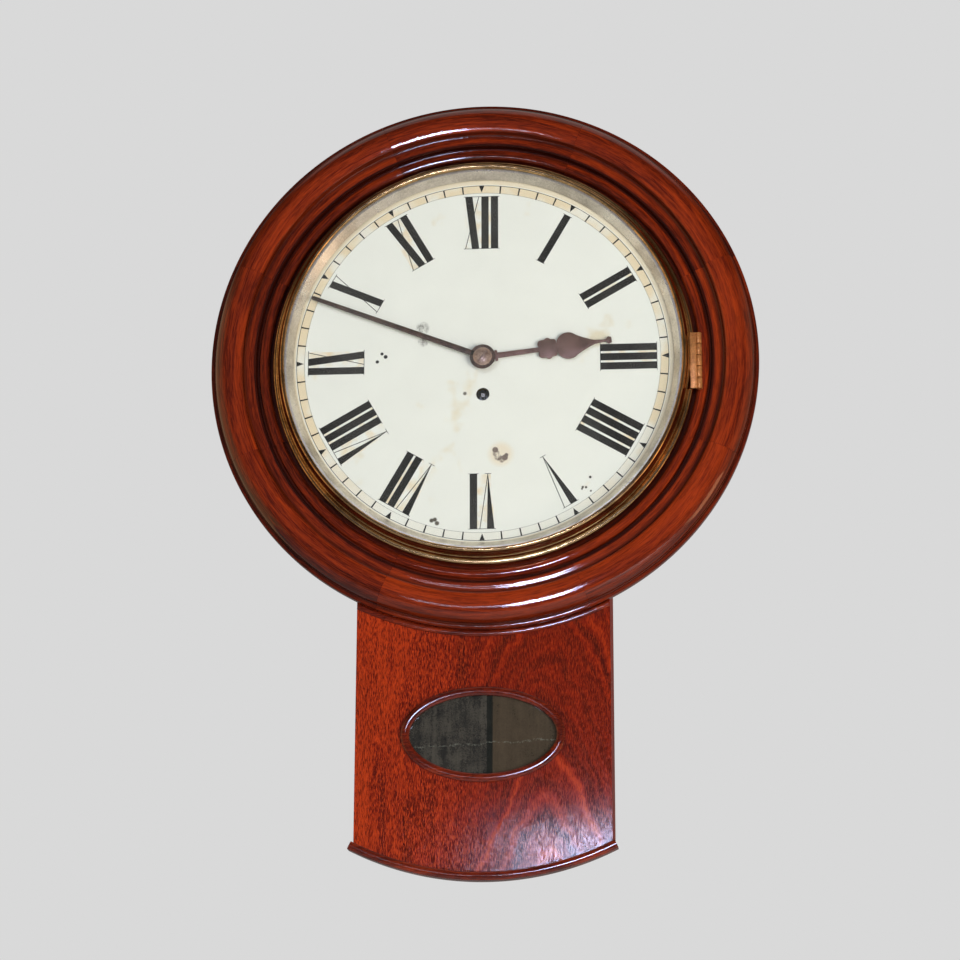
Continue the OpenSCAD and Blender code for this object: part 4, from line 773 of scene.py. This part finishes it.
class CLOCK_OT_bezel(bpy.types.Operator):
    """Spins the brass bezel and its silvered sight ring, and finishes the hinge and the glass"""
    bl_idname = "clock.bezel"
    bl_label = "Bezel and glass"

    def execute(self, context):
        paint = colours()
        # Spun brass under old lacquer: the tool's rings draw each highlight out into a bright line.
        brass = metal("lacquered_brass", paint.brass, linear("#6f5838"), 0.13, line=0.9, patch=22)
        # Brass silvered by rubbing on a paste: a pale, satin ring, greyer where it has tarnished.
        silver = metal("silvered_brass", paint.silver, linear("#b4aa98"), 0.25, line=0.7, patch=30,
                       bare=0.8)
        # From the outside in: a half-round rim, a cove that climbs to a narrow bead, and the lip
        # over the glass. The silvered ring slopes from the lip down to the dial.
        r = BEZEL_R
        sight = r - 10.5
        recess = r - 7.2
        bm = turned_part(
            [(recess, 17.4), (r - 4.5, 12), (r - 4.5, 5), (r - 0.3, 5), (r, 5.4), (r, 9)]
            + arc(r - 1.9, 9.2, 1.9, 0, 100, 12)
            + [(r - 2.7, 11.3), (r - 3.1, 11.5), (r - 3.3, 12), (r - 3.9, 13.6), (r - 4.4, 15.4),
               (r - 4.8, 15.6), (r - 5.0, 16.2), (r - 5.1, 17.4), (r - 5.4, 18.7), (r - 5.9, 19.7),
               (r - 6.6, 20.5)]
            + arc(sight + 1.8, 21.5, 1.8, 20, 180, 14)
            + [(sight, 21.15), (recess, 21.15)], steps=256, offset=(0, 0, CASE_D))
        piece("spun_bezel", bm, brass, "bezel", ["bezel_ring"], smooth=32)
        inner = sight - 6.2
        bm = turned_part([(recess - 0.05, 19.45), (recess - 0.05, 18.65), (sight - 1, 18.65),
                          (inner + 0.8, 12.25), (inner + 0.2, 12.2), (inner, 12.5),
                          (sight - 1.4, 19.45)], steps=256, offset=(0, 0, CASE_D))
        piece("silvered_sight_ring", bm, silver, "bezel", ["sight_ring"], smooth=32)
        # Cast brass, filed and never lacquered: redder than the bezel, with a dull gloss.
        hinge = metal("cast_brass", linear("#e0995a"), linear("#a8683a"), 0.34, patch=5, bare=0.55)
        # It is 46 mm long, with three knuckles on the bezel's wing and two on the plate.
        x, y, z, part = r + 2.5, -5.6, CASE_D + 11.5, 46 / 5
        for name, body, node, places, leaf in (
                ("hinge_wing_with_three_knuckles", "bezel", "bezel_hinge_wing", (-2, 0, 2), True),
                ("hinge_plate_with_two_knuckles", "case", "bezel_hinge_plate", (-1, 1), False)):
            bm = bmesh.new()
            for place in places:
                spot = (Matrix.Translation((x, y + place * part, z))
                        @ Matrix.Rotation(math.pi / 2, 4, "X"))
                bmesh.ops.create_cone(bm, cap_ends=True, segments=32, radius1=2.4, radius2=2.4,
                                      depth=part - 0.7, matrix=spot)
                if not leaf:
                    bmesh.ops.create_cube(bm, size=1, matrix=Matrix.Translation(
                        (x - 1.1, y + place * part, z - 4)) @ Matrix.Diagonal((1.2, part - 0.7, 8, 1)))
            if leaf:
                bmesh.ops.create_cube(bm, size=1, matrix=Matrix.Translation((x - 4.3, y, z + 1.5))
                                      @ Matrix.Diagonal((5, 5 * part - 0.7, 1.2, 1)))
            edges = [e for e in bm.edges if e.calc_face_angle(0) > 1]
            bmesh.ops.bevel(bm, geom=edges, offset=0.25, offset_type="OFFSET", segments=2, profile=0.5,
                            affect="EDGES", material=-1, clamp_overlap=True)
            piece(name, bm, hinge, body, [node], smooth=35)
        for node in ("bezel_catch", "side_door_knob", "bottom_door_knob", "door_hinge_plates",
                     "side_door_wings", "bottom_door_wings"):
            finish_node(node, hinge)
        finish_node("bezel_glass", clear_glass())
        return {"FINISHED"}


LIFT = 0.03  # the painted strokes start this far in front of the dial, over the yellowed grounds
NUMERALS = ("XII", "I", "II", "III", "IIII", "V", "VI", "VII", "VIII", "IX", "X", "XI")


def numeral_strokes(text, bar, hairline):
    """Strokes of a numeral: (x at the head, x at the foot, width at the head, width at the foot)."""
    widths = {"I": bar, "V": 2.0 * bar, "X": 1.93 * bar}
    gap = 0.31 * bar
    x = -(sum(widths[c] for c in text) + gap * (len(text) - 1)) / 2
    strokes, spans = [], []
    for letter in text:
        wide = widths[letter]
        if letter == "I":
            strokes.append((x + bar / 2, x + bar / 2, bar, bar))
        elif letter == "V":
            tip = x + 0.86 * bar
            strokes.append((x + bar / 2, tip, bar, 0.12))
            strokes.append((x + wide - hairline / 2, tip, hairline, hairline))
        else:
            strokes.append((x + bar / 2, x + wide - bar / 2, bar, bar))
            strokes.append((x + wide - hairline / 2, x + hairline / 2, hairline, hairline))
        spans.append((letter, x, x + wide))
        x += wide + gap
    return strokes, spans


class CLOCK_OT_dial(bpy.types.Operator):
    """Paints the dial: its ground, the hour numerals with their hairlines and the minute track"""
    bl_idname = "clock.dial"
    bl_label = "Painted dial"

    def execute(self, context):
        size = sizes()
        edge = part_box("dial_plate")[1] * 1000
        # The plate's rim, the hole for the hands' pipes and the winding hole.
        bm = bmesh.new()
        for y, radius, steps in ((0, edge.x, 192), (0, 5.5, 48), (BARREL_Y, mm(size.winding_hole), 48)):
            bmesh.ops.create_circle(bm, cap_ends=False, segments=steps, radius=radius,
                                    matrix=Matrix.Translation((0, y, -edge.y)))
        bmesh.ops.triangle_fill(bm, use_beauty=True, use_dissolve=True, edges=bm.edges[:])
        raise_paint(bm, DIAL_FRONT + edge.y)
        piece("painted_dial_plate", bm, dial_material(), "case", ["dial_plate"], smooth=30)
        inside, outside = mm(size.numeral_in), mm(size.numeral_out)
        bar, hairline, paint = mm(size.bar), mm(size.hairline), mm(size.paint)
        serif, serif_line = 1.1, 0.42
        ink, cream = bmesh.new(), bmesh.new()
        for hour, text in enumerate(NUMERALS):
            out = polar(1, DIAL_TURN + 90 - 30 * hour)
            across = Vector((out.y, -out.x, 0))
            strokes, spans = numeral_strokes(text, bar, hairline)
            for head, foot, wide_head, wide_foot in strokes:
                flat_stroke(ink, out * outside + across * head, out * inside + across * foot, wide_head,
                            wide_foot, LIFT)
            for letter, left, right in spans:
                ends = {"I": ((left, right), (left, right)),
                        "V": ((left, right), (left + 0.6 * bar, left + 1.1 * bar)),
                        "X": ((left, right), (left, right))}[letter]
                for radius, (a, b) in zip((outside, inside), ends):
                    flat_stroke(ink, out * radius + across * (a - serif),
                                out * radius + across * (b + serif), serif_line, serif_line, LIFT)
            if len(text) > 1:
                left, right = spans[0][1], spans[-1][2]
                middle = across * (left + right) / 2
                taper = bar if text[0] == "V" or text[-1] == "V" else 0
                flat_stroke(cream, out * (outside - 0.4) + middle, out * (inside + 0.4) + middle,
                            right - left, right - left - taper, 0.005)
        bmesh.ops.translate(ink, verts=ink.verts, vec=(*DIAL_AT, DIAL_FRONT))
        raise_paint(ink, paint)
        piece("hour_numerals", ink, ink_material(), "case", smooth=None)
        bmesh.ops.translate(cream, verts=cream.verts, vec=(*DIAL_AT, DIAL_FRONT))
        raise_paint(cream, 0.02)
        piece("numeral_grounds", cream, cream_material(), "case", smooth=None)

        track = bmesh.new()
        inner, outer = mm(size.track_in), mm(size.track_out)
        for radius, line in ((outer, 0.42), (inner, 0.16)):
            edges = section(track, [(radius - line / 2, LIFT), (radius + line / 2, LIFT)], closed=False)
            turn(track, edges, 360, 240, True)
        for minute in range(60):
            out = polar(1, DIAL_TURN + 90 - 6 * minute)
            if minute % 5:
                flat_stroke(track, out * (inner - 0.2), out * outer, 1.0, 1.2, LIFT)
            else:
                flat_stroke(track, out * (inner + 0.8), out * (outer + 0.3), 0.15, 4.4, LIFT)
        bmesh.ops.remove_doubles(track, verts=track.verts, dist=0.0001)
        bmesh.ops.translate(track, verts=track.verts, vec=(*DIAL_AT, DIAL_FRONT))
        raise_paint(track, paint)
        piece("minute_track", track, ink_material(), "case", smooth=None)
        return {"FINISHED"}


def hand_shape(outline, degrees, z, thickness, soften):
    """A flat hand cut from half its outline, mirrored, thickened and eased along its edges."""
    bm = bmesh.new()
    verts = [bm.verts.new((x, y, 0)) for x, y in outline]
    foot = [bm.verts.new((outline[-1][0], 0, 0))] if outline[-1][1] > 0.01 else []
    heel = [bm.verts.new((outline[0][0], 0, 0))] if outline[0][1] > 0.01 else []
    bm.faces.new(heel + verts + foot)
    bmesh.ops.mirror(bm, geom=bm.faces[:] + bm.edges[:] + bm.verts[:], merge_dist=0.001, axis="Y")
    seam = [e for e in bm.edges if all(abs(v.co.y) < 1e-4 for v in e.verts) and len(e.link_faces) == 2]
    bmesh.ops.dissolve_edges(bm, edges=seam, use_verts=True)
    bmesh.ops.recalc_face_normals(bm, faces=bm.faces)
    done = bmesh.ops.extrude_face_region(bm, geom=bm.faces[:], use_keep_orig=True)
    top = [g for g in done["geom"] if isinstance(g, bmesh.types.BMVert)]
    bmesh.ops.translate(bm, verts=top, vec=(0, 0, thickness))
    edges = [e for e in bm.edges if all(v in top for v in e.verts)
             and any(not all(v in top for v in f.verts) for f in e.link_faces)]
    bmesh.ops.bevel(bm, geom=edges, offset=soften, offset_type="OFFSET", segments=2, profile=0.5,
                    affect="EDGES", material=-1, clamp_overlap=True)
    bmesh.ops.rotate(bm, verts=bm.verts, cent=(0, 0, 0), matrix=Matrix.Rotation(
        math.radians(degrees), 3, "Z"))
    bmesh.ops.translate(bm, verts=bm.verts, vec=(0, 0, z))
    return bm


def boss(bm, radius, z, thickness, soften=0.3):
    """A round boss on a hand, with an eased rim."""
    edges = section(bm, [(0, z), (radius - soften, z), (radius, z + soften),
                         (radius, z + thickness - soften), (radius - soften, z + thickness),
                         (0, z + thickness)], closed=False)
    turn(bm, edges, 360, 64, True)
    bmesh.ops.remove_doubles(bm, verts=bm.verts, dist=0.0005)


class CLOCK_OT_hands(bpy.types.Operator):
    """Files the spade hour hand and the long minute hand and fits the domed centre screw"""
    bl_idname = "clock.hands"
    bl_label = "Hands"

    def execute(self, context):
        # Sheet steel, filed, blacked in oil and gone brown: a low, patchy sheen.
        steel = metal("blackened_steel", linear("#4c3324"), colours().hands, 0.42, patch=9, spread=0.15,
                      bare=0.4)
        spade = metal("browned_steel", linear("#7a5b51"), linear("#523a32"), 0.4, patch=12, spread=0.15,
                      bare=0.4)
        # A turned and polished screw head, browned: brighter and smoother than the hands.
        screw = metal("browned_screw", linear("#b79c8a"), linear("#7d6252"), 0.28, patch=5, bare=0.5)
        tip = 144.5
        outline = [(0, 2.15), (30, 2.1), (90, 1.85), (tip - 1.2, 1.55), (tip, 0.9)]
        bm = hand_shape(outline, 90 - MINUTE_AT, MINUTE_Z, HAND_T, 0.3)
        boss(bm, 9.9, MINUTE_Z, HAND_T)
        piece("long_minute_hand", bm, steel, "centre_wheel", ["minute_hand"], smooth=30)
        # From the boss out: a collar, a plain stem, a leaf of three lobes, the round spade, which
        # draws in to a thin neck, and the small flourish at the tip. w is half the spade's width.
        w = 10.8
        outline = ([(5, 2.2), (9.4, 2.2), (9.8, 4.6), (11.6, 4.4), (11.9, 2.2), (44.5, 1.8)]
                   + arc(46.6, 4.2, 3, 210, 80, 8) + arc(51.6, 6, 2.6, 150, 30, 8)
                   + arc(56, 4.6, 2.4, 100, -20, 8) + [(58.6, 3.4)]
                   + arc(67.5, w - 9.4, 9.4, 160, 62, 16)
                   + [(74.4, w - 2.9), (77, w - 4.4), (80, w - 5.9), (83, 3.6), (85.5, 2.5), (88, 1.7),
                      (93.5, 1), (97, 1), (98.8, 3), (101.4, 2.1), (104.8, 0)])
        bm = hand_shape(outline, 90 - HOUR_AT, HOUR_Z, HAND_T, 0.35)
        boss(bm, 8.4, HOUR_Z, HAND_T)
        piece("spade_hour_hand", bm, spade, "hour_wheel", ["hour_hand"], smooth=30)
        # The screw is a low dome. It is turned so that its slot can be cut along x, and back.
        top, slot_angle = MINUTE_Z + HAND_T, 52
        bm = bmesh.new()
        edges = section(bm, [(7.4, 0)] + arc(0, -15.3, 17, 64.2, 90, 14), closed=False)
        turn(bm, edges, 360, 96, True)
        bmesh.ops.rotate(bm, verts=bm.verts, cent=(0, 0, 0), matrix=Matrix.Rotation(
            math.radians(-slot_angle), 3, "Z"))
        for place, normal in (((0, 0.5, 0), (0, 1, 0)), ((0, -0.5, 0), (0, 1, 0)),
                              ((5, 0, 0), (1, 0, 0)), ((-5, 0, 0), (1, 0, 0))):
            bmesh.ops.bisect_plane(bm, geom=bm.verts[:] + bm.edges[:] + bm.faces[:], plane_co=place,
                                   plane_no=normal, dist=1e-5)
        slot = [f for f in bm.faces if abs(f.calc_center_median().y) < 0.5
                and abs(f.calc_center_median().x) < 5]
        done = bmesh.ops.extrude_face_region(bm, geom=slot)
        for vert in [g for g in done["geom"] if isinstance(g, bmesh.types.BMVert)]:
            vert.co.z = 0.3
        bmesh.ops.delete(bm, geom=[f for f in slot if f.is_valid], context="FACES_KEEP_BOUNDARY")
        rim = [e for e in bm.edges if e.is_boundary]
        bmesh.ops.edgeloop_fill(bm, edges=rim)
        bmesh.ops.rotate(bm, verts=bm.verts, cent=(0, 0, 0), matrix=Matrix.Rotation(
            math.radians(slot_angle), 3, "Z"))
        bmesh.ops.translate(bm, verts=bm.verts, vec=(0, 0, top))
        piece("domed_centre_screw", bm, screw, "centre_wheel", ["centre_screw"], smooth=35)
        return {"FINISHED"}


class CLOCK_OT_case(bpy.types.Operator):
    """Finishes the boards, doors, lugs and pegs of the case"""
    bl_idname = "clock.case"
    bl_label = "Case"

    def execute(self, context):
        size, paint = sizes(), colours()
        # The unseen sides are oiled rather than polished, so they stay darker and duller.
        side = mahogany("mahogany_boards", paint.trunk, paint.ring_dark, paint.ring_light,
                        mm(size.grain) * 0.7, tone=0.4, coat=(0.15, 0.2))
        base = mahogany("mahogany_base", paint.ring, paint.ring_dark, paint.ring_light,
                        mm(size.grain), along="X", tone=0.4)
        # Planed pine under brown stain: straight dark growth lines and no gloss.
        pine = softwood("stained_pine", paint.case, linear("#3c1d0e"))
        cross = softwood("stained_pine_cross", paint.case, linear("#3c1d0e"), along="X")
        # Beech pegs, turned and left bare: pale and plain.
        beech = softwood("turned_beech", linear("#b98d5c"), linear("#8a6238"), along="X", roughness=0.5)
        for node in ("side_left", "side_right", "side_door"):
            finish_node(node, side)
        for node in ("bottom_board", "bottom_door"):
            finish_node(node, base)
        finish_node("back_board", pine)
        finish_node("top_board", cross)
        finish_node("surround_lugs", pine)
        finish_node("surround_pegs", beech)
        # Sheet iron blacked over the forge: nearly black, rough and patchy.
        iron = metal("blacked_iron", linear("#5b5856"), linear("#2f2c2a"), 0.5, patch=10)
        finish_node("hanging_plate", iron)
        return {"FINISHED"}


class CLOCK_OT_movement(bpy.types.Operator):
    """Finishes the brass and steel of the movement, the screws and the pendulum"""
    bl_idname = "clock.movement"
    bl_label = "Movement and pendulum"

    def execute(self, context):
        paint = colours()
        # Rolled brass plate rubbed down with a stone, so it is satin and even.
        satin = metal("satin_brass", paint.movement, linear("#94743c"), 0.34, patch=18)
        # Brass wheels fresh from the cutter: lighter and sharper in their gloss.
        cut = metal("cut_brass", linear("#cdab63"), linear("#a0803f"), 0.26, patch=8)
        # Turned and burnished steel: grey, with a clear gloss.
        steel = metal("polished_steel", linear("#b4b2ae"), linear("#7d7a75"), 0.25, patch=6, bare=0.7)
        # Spring steel tempered to blue, going to purple in patches.
        blued = metal("fire_blued_steel", linear("#2f3c5a"), linear("#3a2c3c"), 0.3, patch=6)
        # Turned brass, dulled by handling, with its tool marks in rings.
        bob = metal("pendulum_brass", linear("#b98f4e"), linear("#7f5f31"), 0.3, line=0.8, patch=16)
        groups = {
            "front_plate back_plate pillars back_cock hour_bridge dial_feet barrel barrel_cap": satin,
            "intermediate_wheel centre_wheel third_wheel escape_wheel minute_wheel hour_wheel": cut,
            "cannon_pinion rating_nut": cut,
            "taper_pins back_cock_screws wood_screws barrel_arbor ratchet_wheel click pallets": steel,
            "crutch pendulum_rod": steel,
            "mainspring click_spring suspension_spring": blued,
            "pendulum_bob": bob,
        }
        for names, material in groups.items():
            for node in names.split():
                finish_node(node, material)
        return {"FINISHED"}


# The camera as fitted to the photograph: its place in metres, its turns in degrees, and its focal
# length in pixels of a picture 960 wide.
CAMERA_AT = Vector((0.139, -2.043, -0.642))
YAW, PITCH, ROLL = 4.19, 15.73, 0.19
FOCAL, PICTURE, SENSOR = 2600, 960, 36

# Each lamp: name, place, aim, width, height, watts, tint, seen in polish, lights matt surfaces.
LAMPS = (
    ("key_lamp", (2.1, -2.6, -1.0), (0, 0, -0.1), 1.8, 1.8, 90, "#fffdfa", False, True),
    ("fill_lamp", (-1.2, -3.2, 0.9), (0, 0, -0.1), 2.4, 2.4, 41, "#e8f0ff", False, True),
    ("back_lamp", (0.9, 3.0, 1.2), (0, 0, -0.1), 2.4, 2.4, 55, "#f4f2ee", False, True),
    ("window_light", (0.02, -4.1, 0.03), (0.1, 0, -0.25), 0.32, 0.34, 40, "#c9d6ff", True, False),
    ("blind_light", (-0.4, -4.1, -0.02), (0, 0, -0.3), 0.5, 0.09, 2.2, "#dde5ff", True, False),
    ("warm_lamp", (3.2, -0.75, -1.7), (0.1, 0, 0), 1.8, 1.8, 30, "#ffc896", True, True))


def area_light(name, at, aim, width, height, watts, tint, glossy, diffuse):
    """A soft lamp at a point, turned to face another."""
    data = bpy.data.lights.new(name, "AREA")
    data.shape = "RECTANGLE"
    data.size, data.size_y = width, height
    data.energy = watts
    data.color = linear(tint)[:3]
    lamp = bpy.data.objects.new(name, data)
    bpy.context.scene.collection.objects.link(lamp)
    direction = Vector(aim) - Vector(at)
    lamp.matrix_world = Matrix.Translation(at) @ direction.to_track_quat("-Z", "Y").to_matrix().to_4x4()
    lamp.visible_glossy = glossy
    lamp.visible_diffuse = diffuse
    lamp.visible_camera = False


class CLOCK_OT_stage(bpy.types.Operator):
    """Sets the pale studio: floor, soft lamps, room light and the camera at the photograph's angle"""
    bl_idname = "clock.stage"
    bl_label = "Studio and camera"

    def execute(self, context):
        scene = context.scene
        paint = colours()
        floor_bm = bmesh.new()
        bmesh.ops.create_grid(floor_bm, x_segments=8, y_segments=8, size=4)
        mesh = bpy.data.meshes.new("studio_floor")
        floor_bm.to_mesh(mesh)
        floor_bm.free()
        mesh.transform(Matrix.Translation((0, -1.5, -1.75)))
        floor = bpy.data.objects.new("studio_floor", mesh)
        scene.collection.objects.link(floor)
        material, tree, shader = new_material("studio_paper")
        weave = add(tree, "TexNoise", {"Vector": add(tree, "TexCoord").outputs["Object"], "Scale": 3.0,
                                       "Detail": 3.0})
        tint = add(tree, "ValToRGB", {"Fac": weave},
                   stops=[(0.3, linear("#d6d6d5")), (0.7, linear("#dcdcdb"))])
        tree.links.new(tint.outputs["Color"], shader.inputs["Base Color"])
        shader.inputs["Roughness"].default_value = 0.9
        mesh.materials.append(material)

        for name, at, aim, width, height, watts, tint, glossy, diffuse in LAMPS:
            area_light(name, at, aim, width, height, watts, tint, glossy, diffuse)

        world = bpy.data.worlds.new("studio_room")
        scene.world = world
        world.use_nodes = True
        sky = world.node_tree
        sky.nodes.clear()
        # The camera sees a flat pale backdrop. Polish sees a quarter of it, straight behind the clock.
        ray = add(sky, "LightPath")
        facing = add(sky, "SeparateXYZ", {"Vector": add(sky, "TexCoord").outputs["Generated"]})
        behind = add(sky, "MapRange", {"Value": facing.outputs["Y"], "From Min": 0.5, "From Max": 0.95,
                                       "To Max": 0.25},
                     interpolation_type="SMOOTHSTEP")
        shine = add(sky, "Math", {0: ray.outputs["Is Glossy Ray"],
                                  1: ray.outputs["Is Transmission Ray"]}, operation="MAXIMUM")
        shown = add(sky, "Math", {0: ray.outputs["Is Camera Ray"],
                                  1: add(sky, "Math", {0: shine, 1: behind}, operation="MULTIPLY")},
                    operation="MAXIMUM")
        # The room that polish and metal mirror: dark in front, warm light walls at both sides, a
        # brown shade above them and a white ceiling.
        rightward = add(sky, "MapRange", {"Value": facing.outputs["X"], "From Min": -0.6,
                                          "From Max": 0.6})
        dark = add(sky, "Mix", {"Factor": rightward, "A": linear("#e0b88c"), "B": linear("#a08670")},
                   data_type="RGBA")
        aside = add(sky, "Math", {0: facing.outputs["X"]}, operation="ABSOLUTE")
        sideways = add(sky, "MapRange", {"Value": aside, "From Min": 0.45, "From Max": 0.85},
                       interpolation_type="SMOOTHSTEP")
        dark = add(sky, "Mix", {"Factor": sideways, "A": linear("#453c35"), "B": dark}, data_type="RGBA")
        wall = add(sky, "MapRange", {"Value": facing.outputs["Z"], "From Min": 0.42, "From Max": 0.62},
                   interpolation_type="SMOOTHSTEP")
        dark = add(sky, "Mix", {"Factor": wall, "A": dark, "B": linear("#3b2a1c")}, data_type="RGBA")
        ceiling = add(sky, "MapRange", {"Value": facing.outputs["Z"], "From Min": 0.78, "From Max": 0.9},
                      interpolation_type="SMOOTHSTEP")
        dark = add(sky, "Mix", {"Factor": ceiling, "A": dark, "B": linear("#d6d4cf")}, data_type="RGBA")
        room = add(sky, "Mix", {"Factor": ray.outputs["Is Diffuse Ray"], "A": dark,
                                "B": linear("#6c6a66")}, data_type="RGBA")
        light = add(sky, "Mix", {"Factor": shown, "A": room, "B": rgba(paint.backdrop)},
                    data_type="RGBA")
        add(sky, "OutputWorld", {"Surface": add(sky, "Background", {"Color": light, "Strength": 1.0})})

        data = bpy.data.cameras.new("photograph_camera")
        data.lens = FOCAL / PICTURE * SENSOR
        data.sensor_fit = "AUTO"
        data.sensor_width = data.sensor_height = SENSOR
        data.clip_end = 50
        camera = bpy.data.objects.new("photograph_camera", data)
        scene.collection.objects.link(camera)
        yaw, pitch, roll = math.radians(YAW), math.radians(PITCH), math.radians(ROLL)
        forward = Vector((-math.sin(yaw) * math.cos(pitch), math.cos(yaw) * math.cos(pitch),
                          math.sin(pitch)))
        right = forward.cross(Vector((0, 0, 1))).normalized()
        up = right.cross(forward)
        tilted = right * math.cos(roll) + up * math.sin(roll)
        upper = up * math.cos(roll) - right * math.sin(roll)
        camera.matrix_world = Matrix((
            (tilted.x, upper.x, -forward.x, CAMERA_AT.x), (tilted.y, upper.y, -forward.y, CAMERA_AT.y),
            (tilted.z, upper.z, -forward.z, CAMERA_AT.z), (0, 0, 0, 1)))
        scene.camera = camera
        scene.view_settings.view_transform = "Standard"
        return {"FINISHED"}


class CLOCK_PT_panel(bpy.types.Panel):
    """Sizes, colours and pieces of the clock"""
    bl_idname = "CLOCK_PT_panel"
    bl_label = "Drop dial clock"
    bl_space_type = "VIEW_3D"
    bl_region_type = "UI"
    bl_category = "Clock"

    def draw(self, context):
        for operator in OPERATORS:
            self.layout.operator(operator.bl_idname)
        for group in (context.scene.clock_sizes, context.scene.clock_colours):
            box = self.layout.box()
            for name in group.__annotations__:
                box.prop(group, name)


OPERATORS = (CLOCK_OT_ring, CLOCK_OT_trunk, CLOCK_OT_bezel, CLOCK_OT_dial, CLOCK_OT_hands, CLOCK_OT_case,
             CLOCK_OT_movement, CLOCK_OT_stage)
CLASSES = (ClockSizes, ClockColours) + OPERATORS + (CLOCK_PT_panel,)


def register():
    for cls in CLASSES:
        bpy.utils.register_class(cls)
    bpy.types.Scene.clock_sizes = PointerProperty(type=ClockSizes)
    bpy.types.Scene.clock_colours = PointerProperty(type=ClockColours)


def unregister():
    del bpy.types.Scene.clock_colours
    del bpy.types.Scene.clock_sizes
    for cls in reversed(CLASSES):
        bpy.utils.unregister_class(cls)


def main():
    register()
    bpy.ops.clock.ring()
    bpy.ops.clock.trunk()
    bpy.ops.clock.bezel()
    bpy.ops.clock.dial()
    bpy.ops.clock.hands()
    bpy.ops.clock.case()
    bpy.ops.clock.movement()
    bpy.ops.clock.stage()


if __name__ == "__main__":
    main()
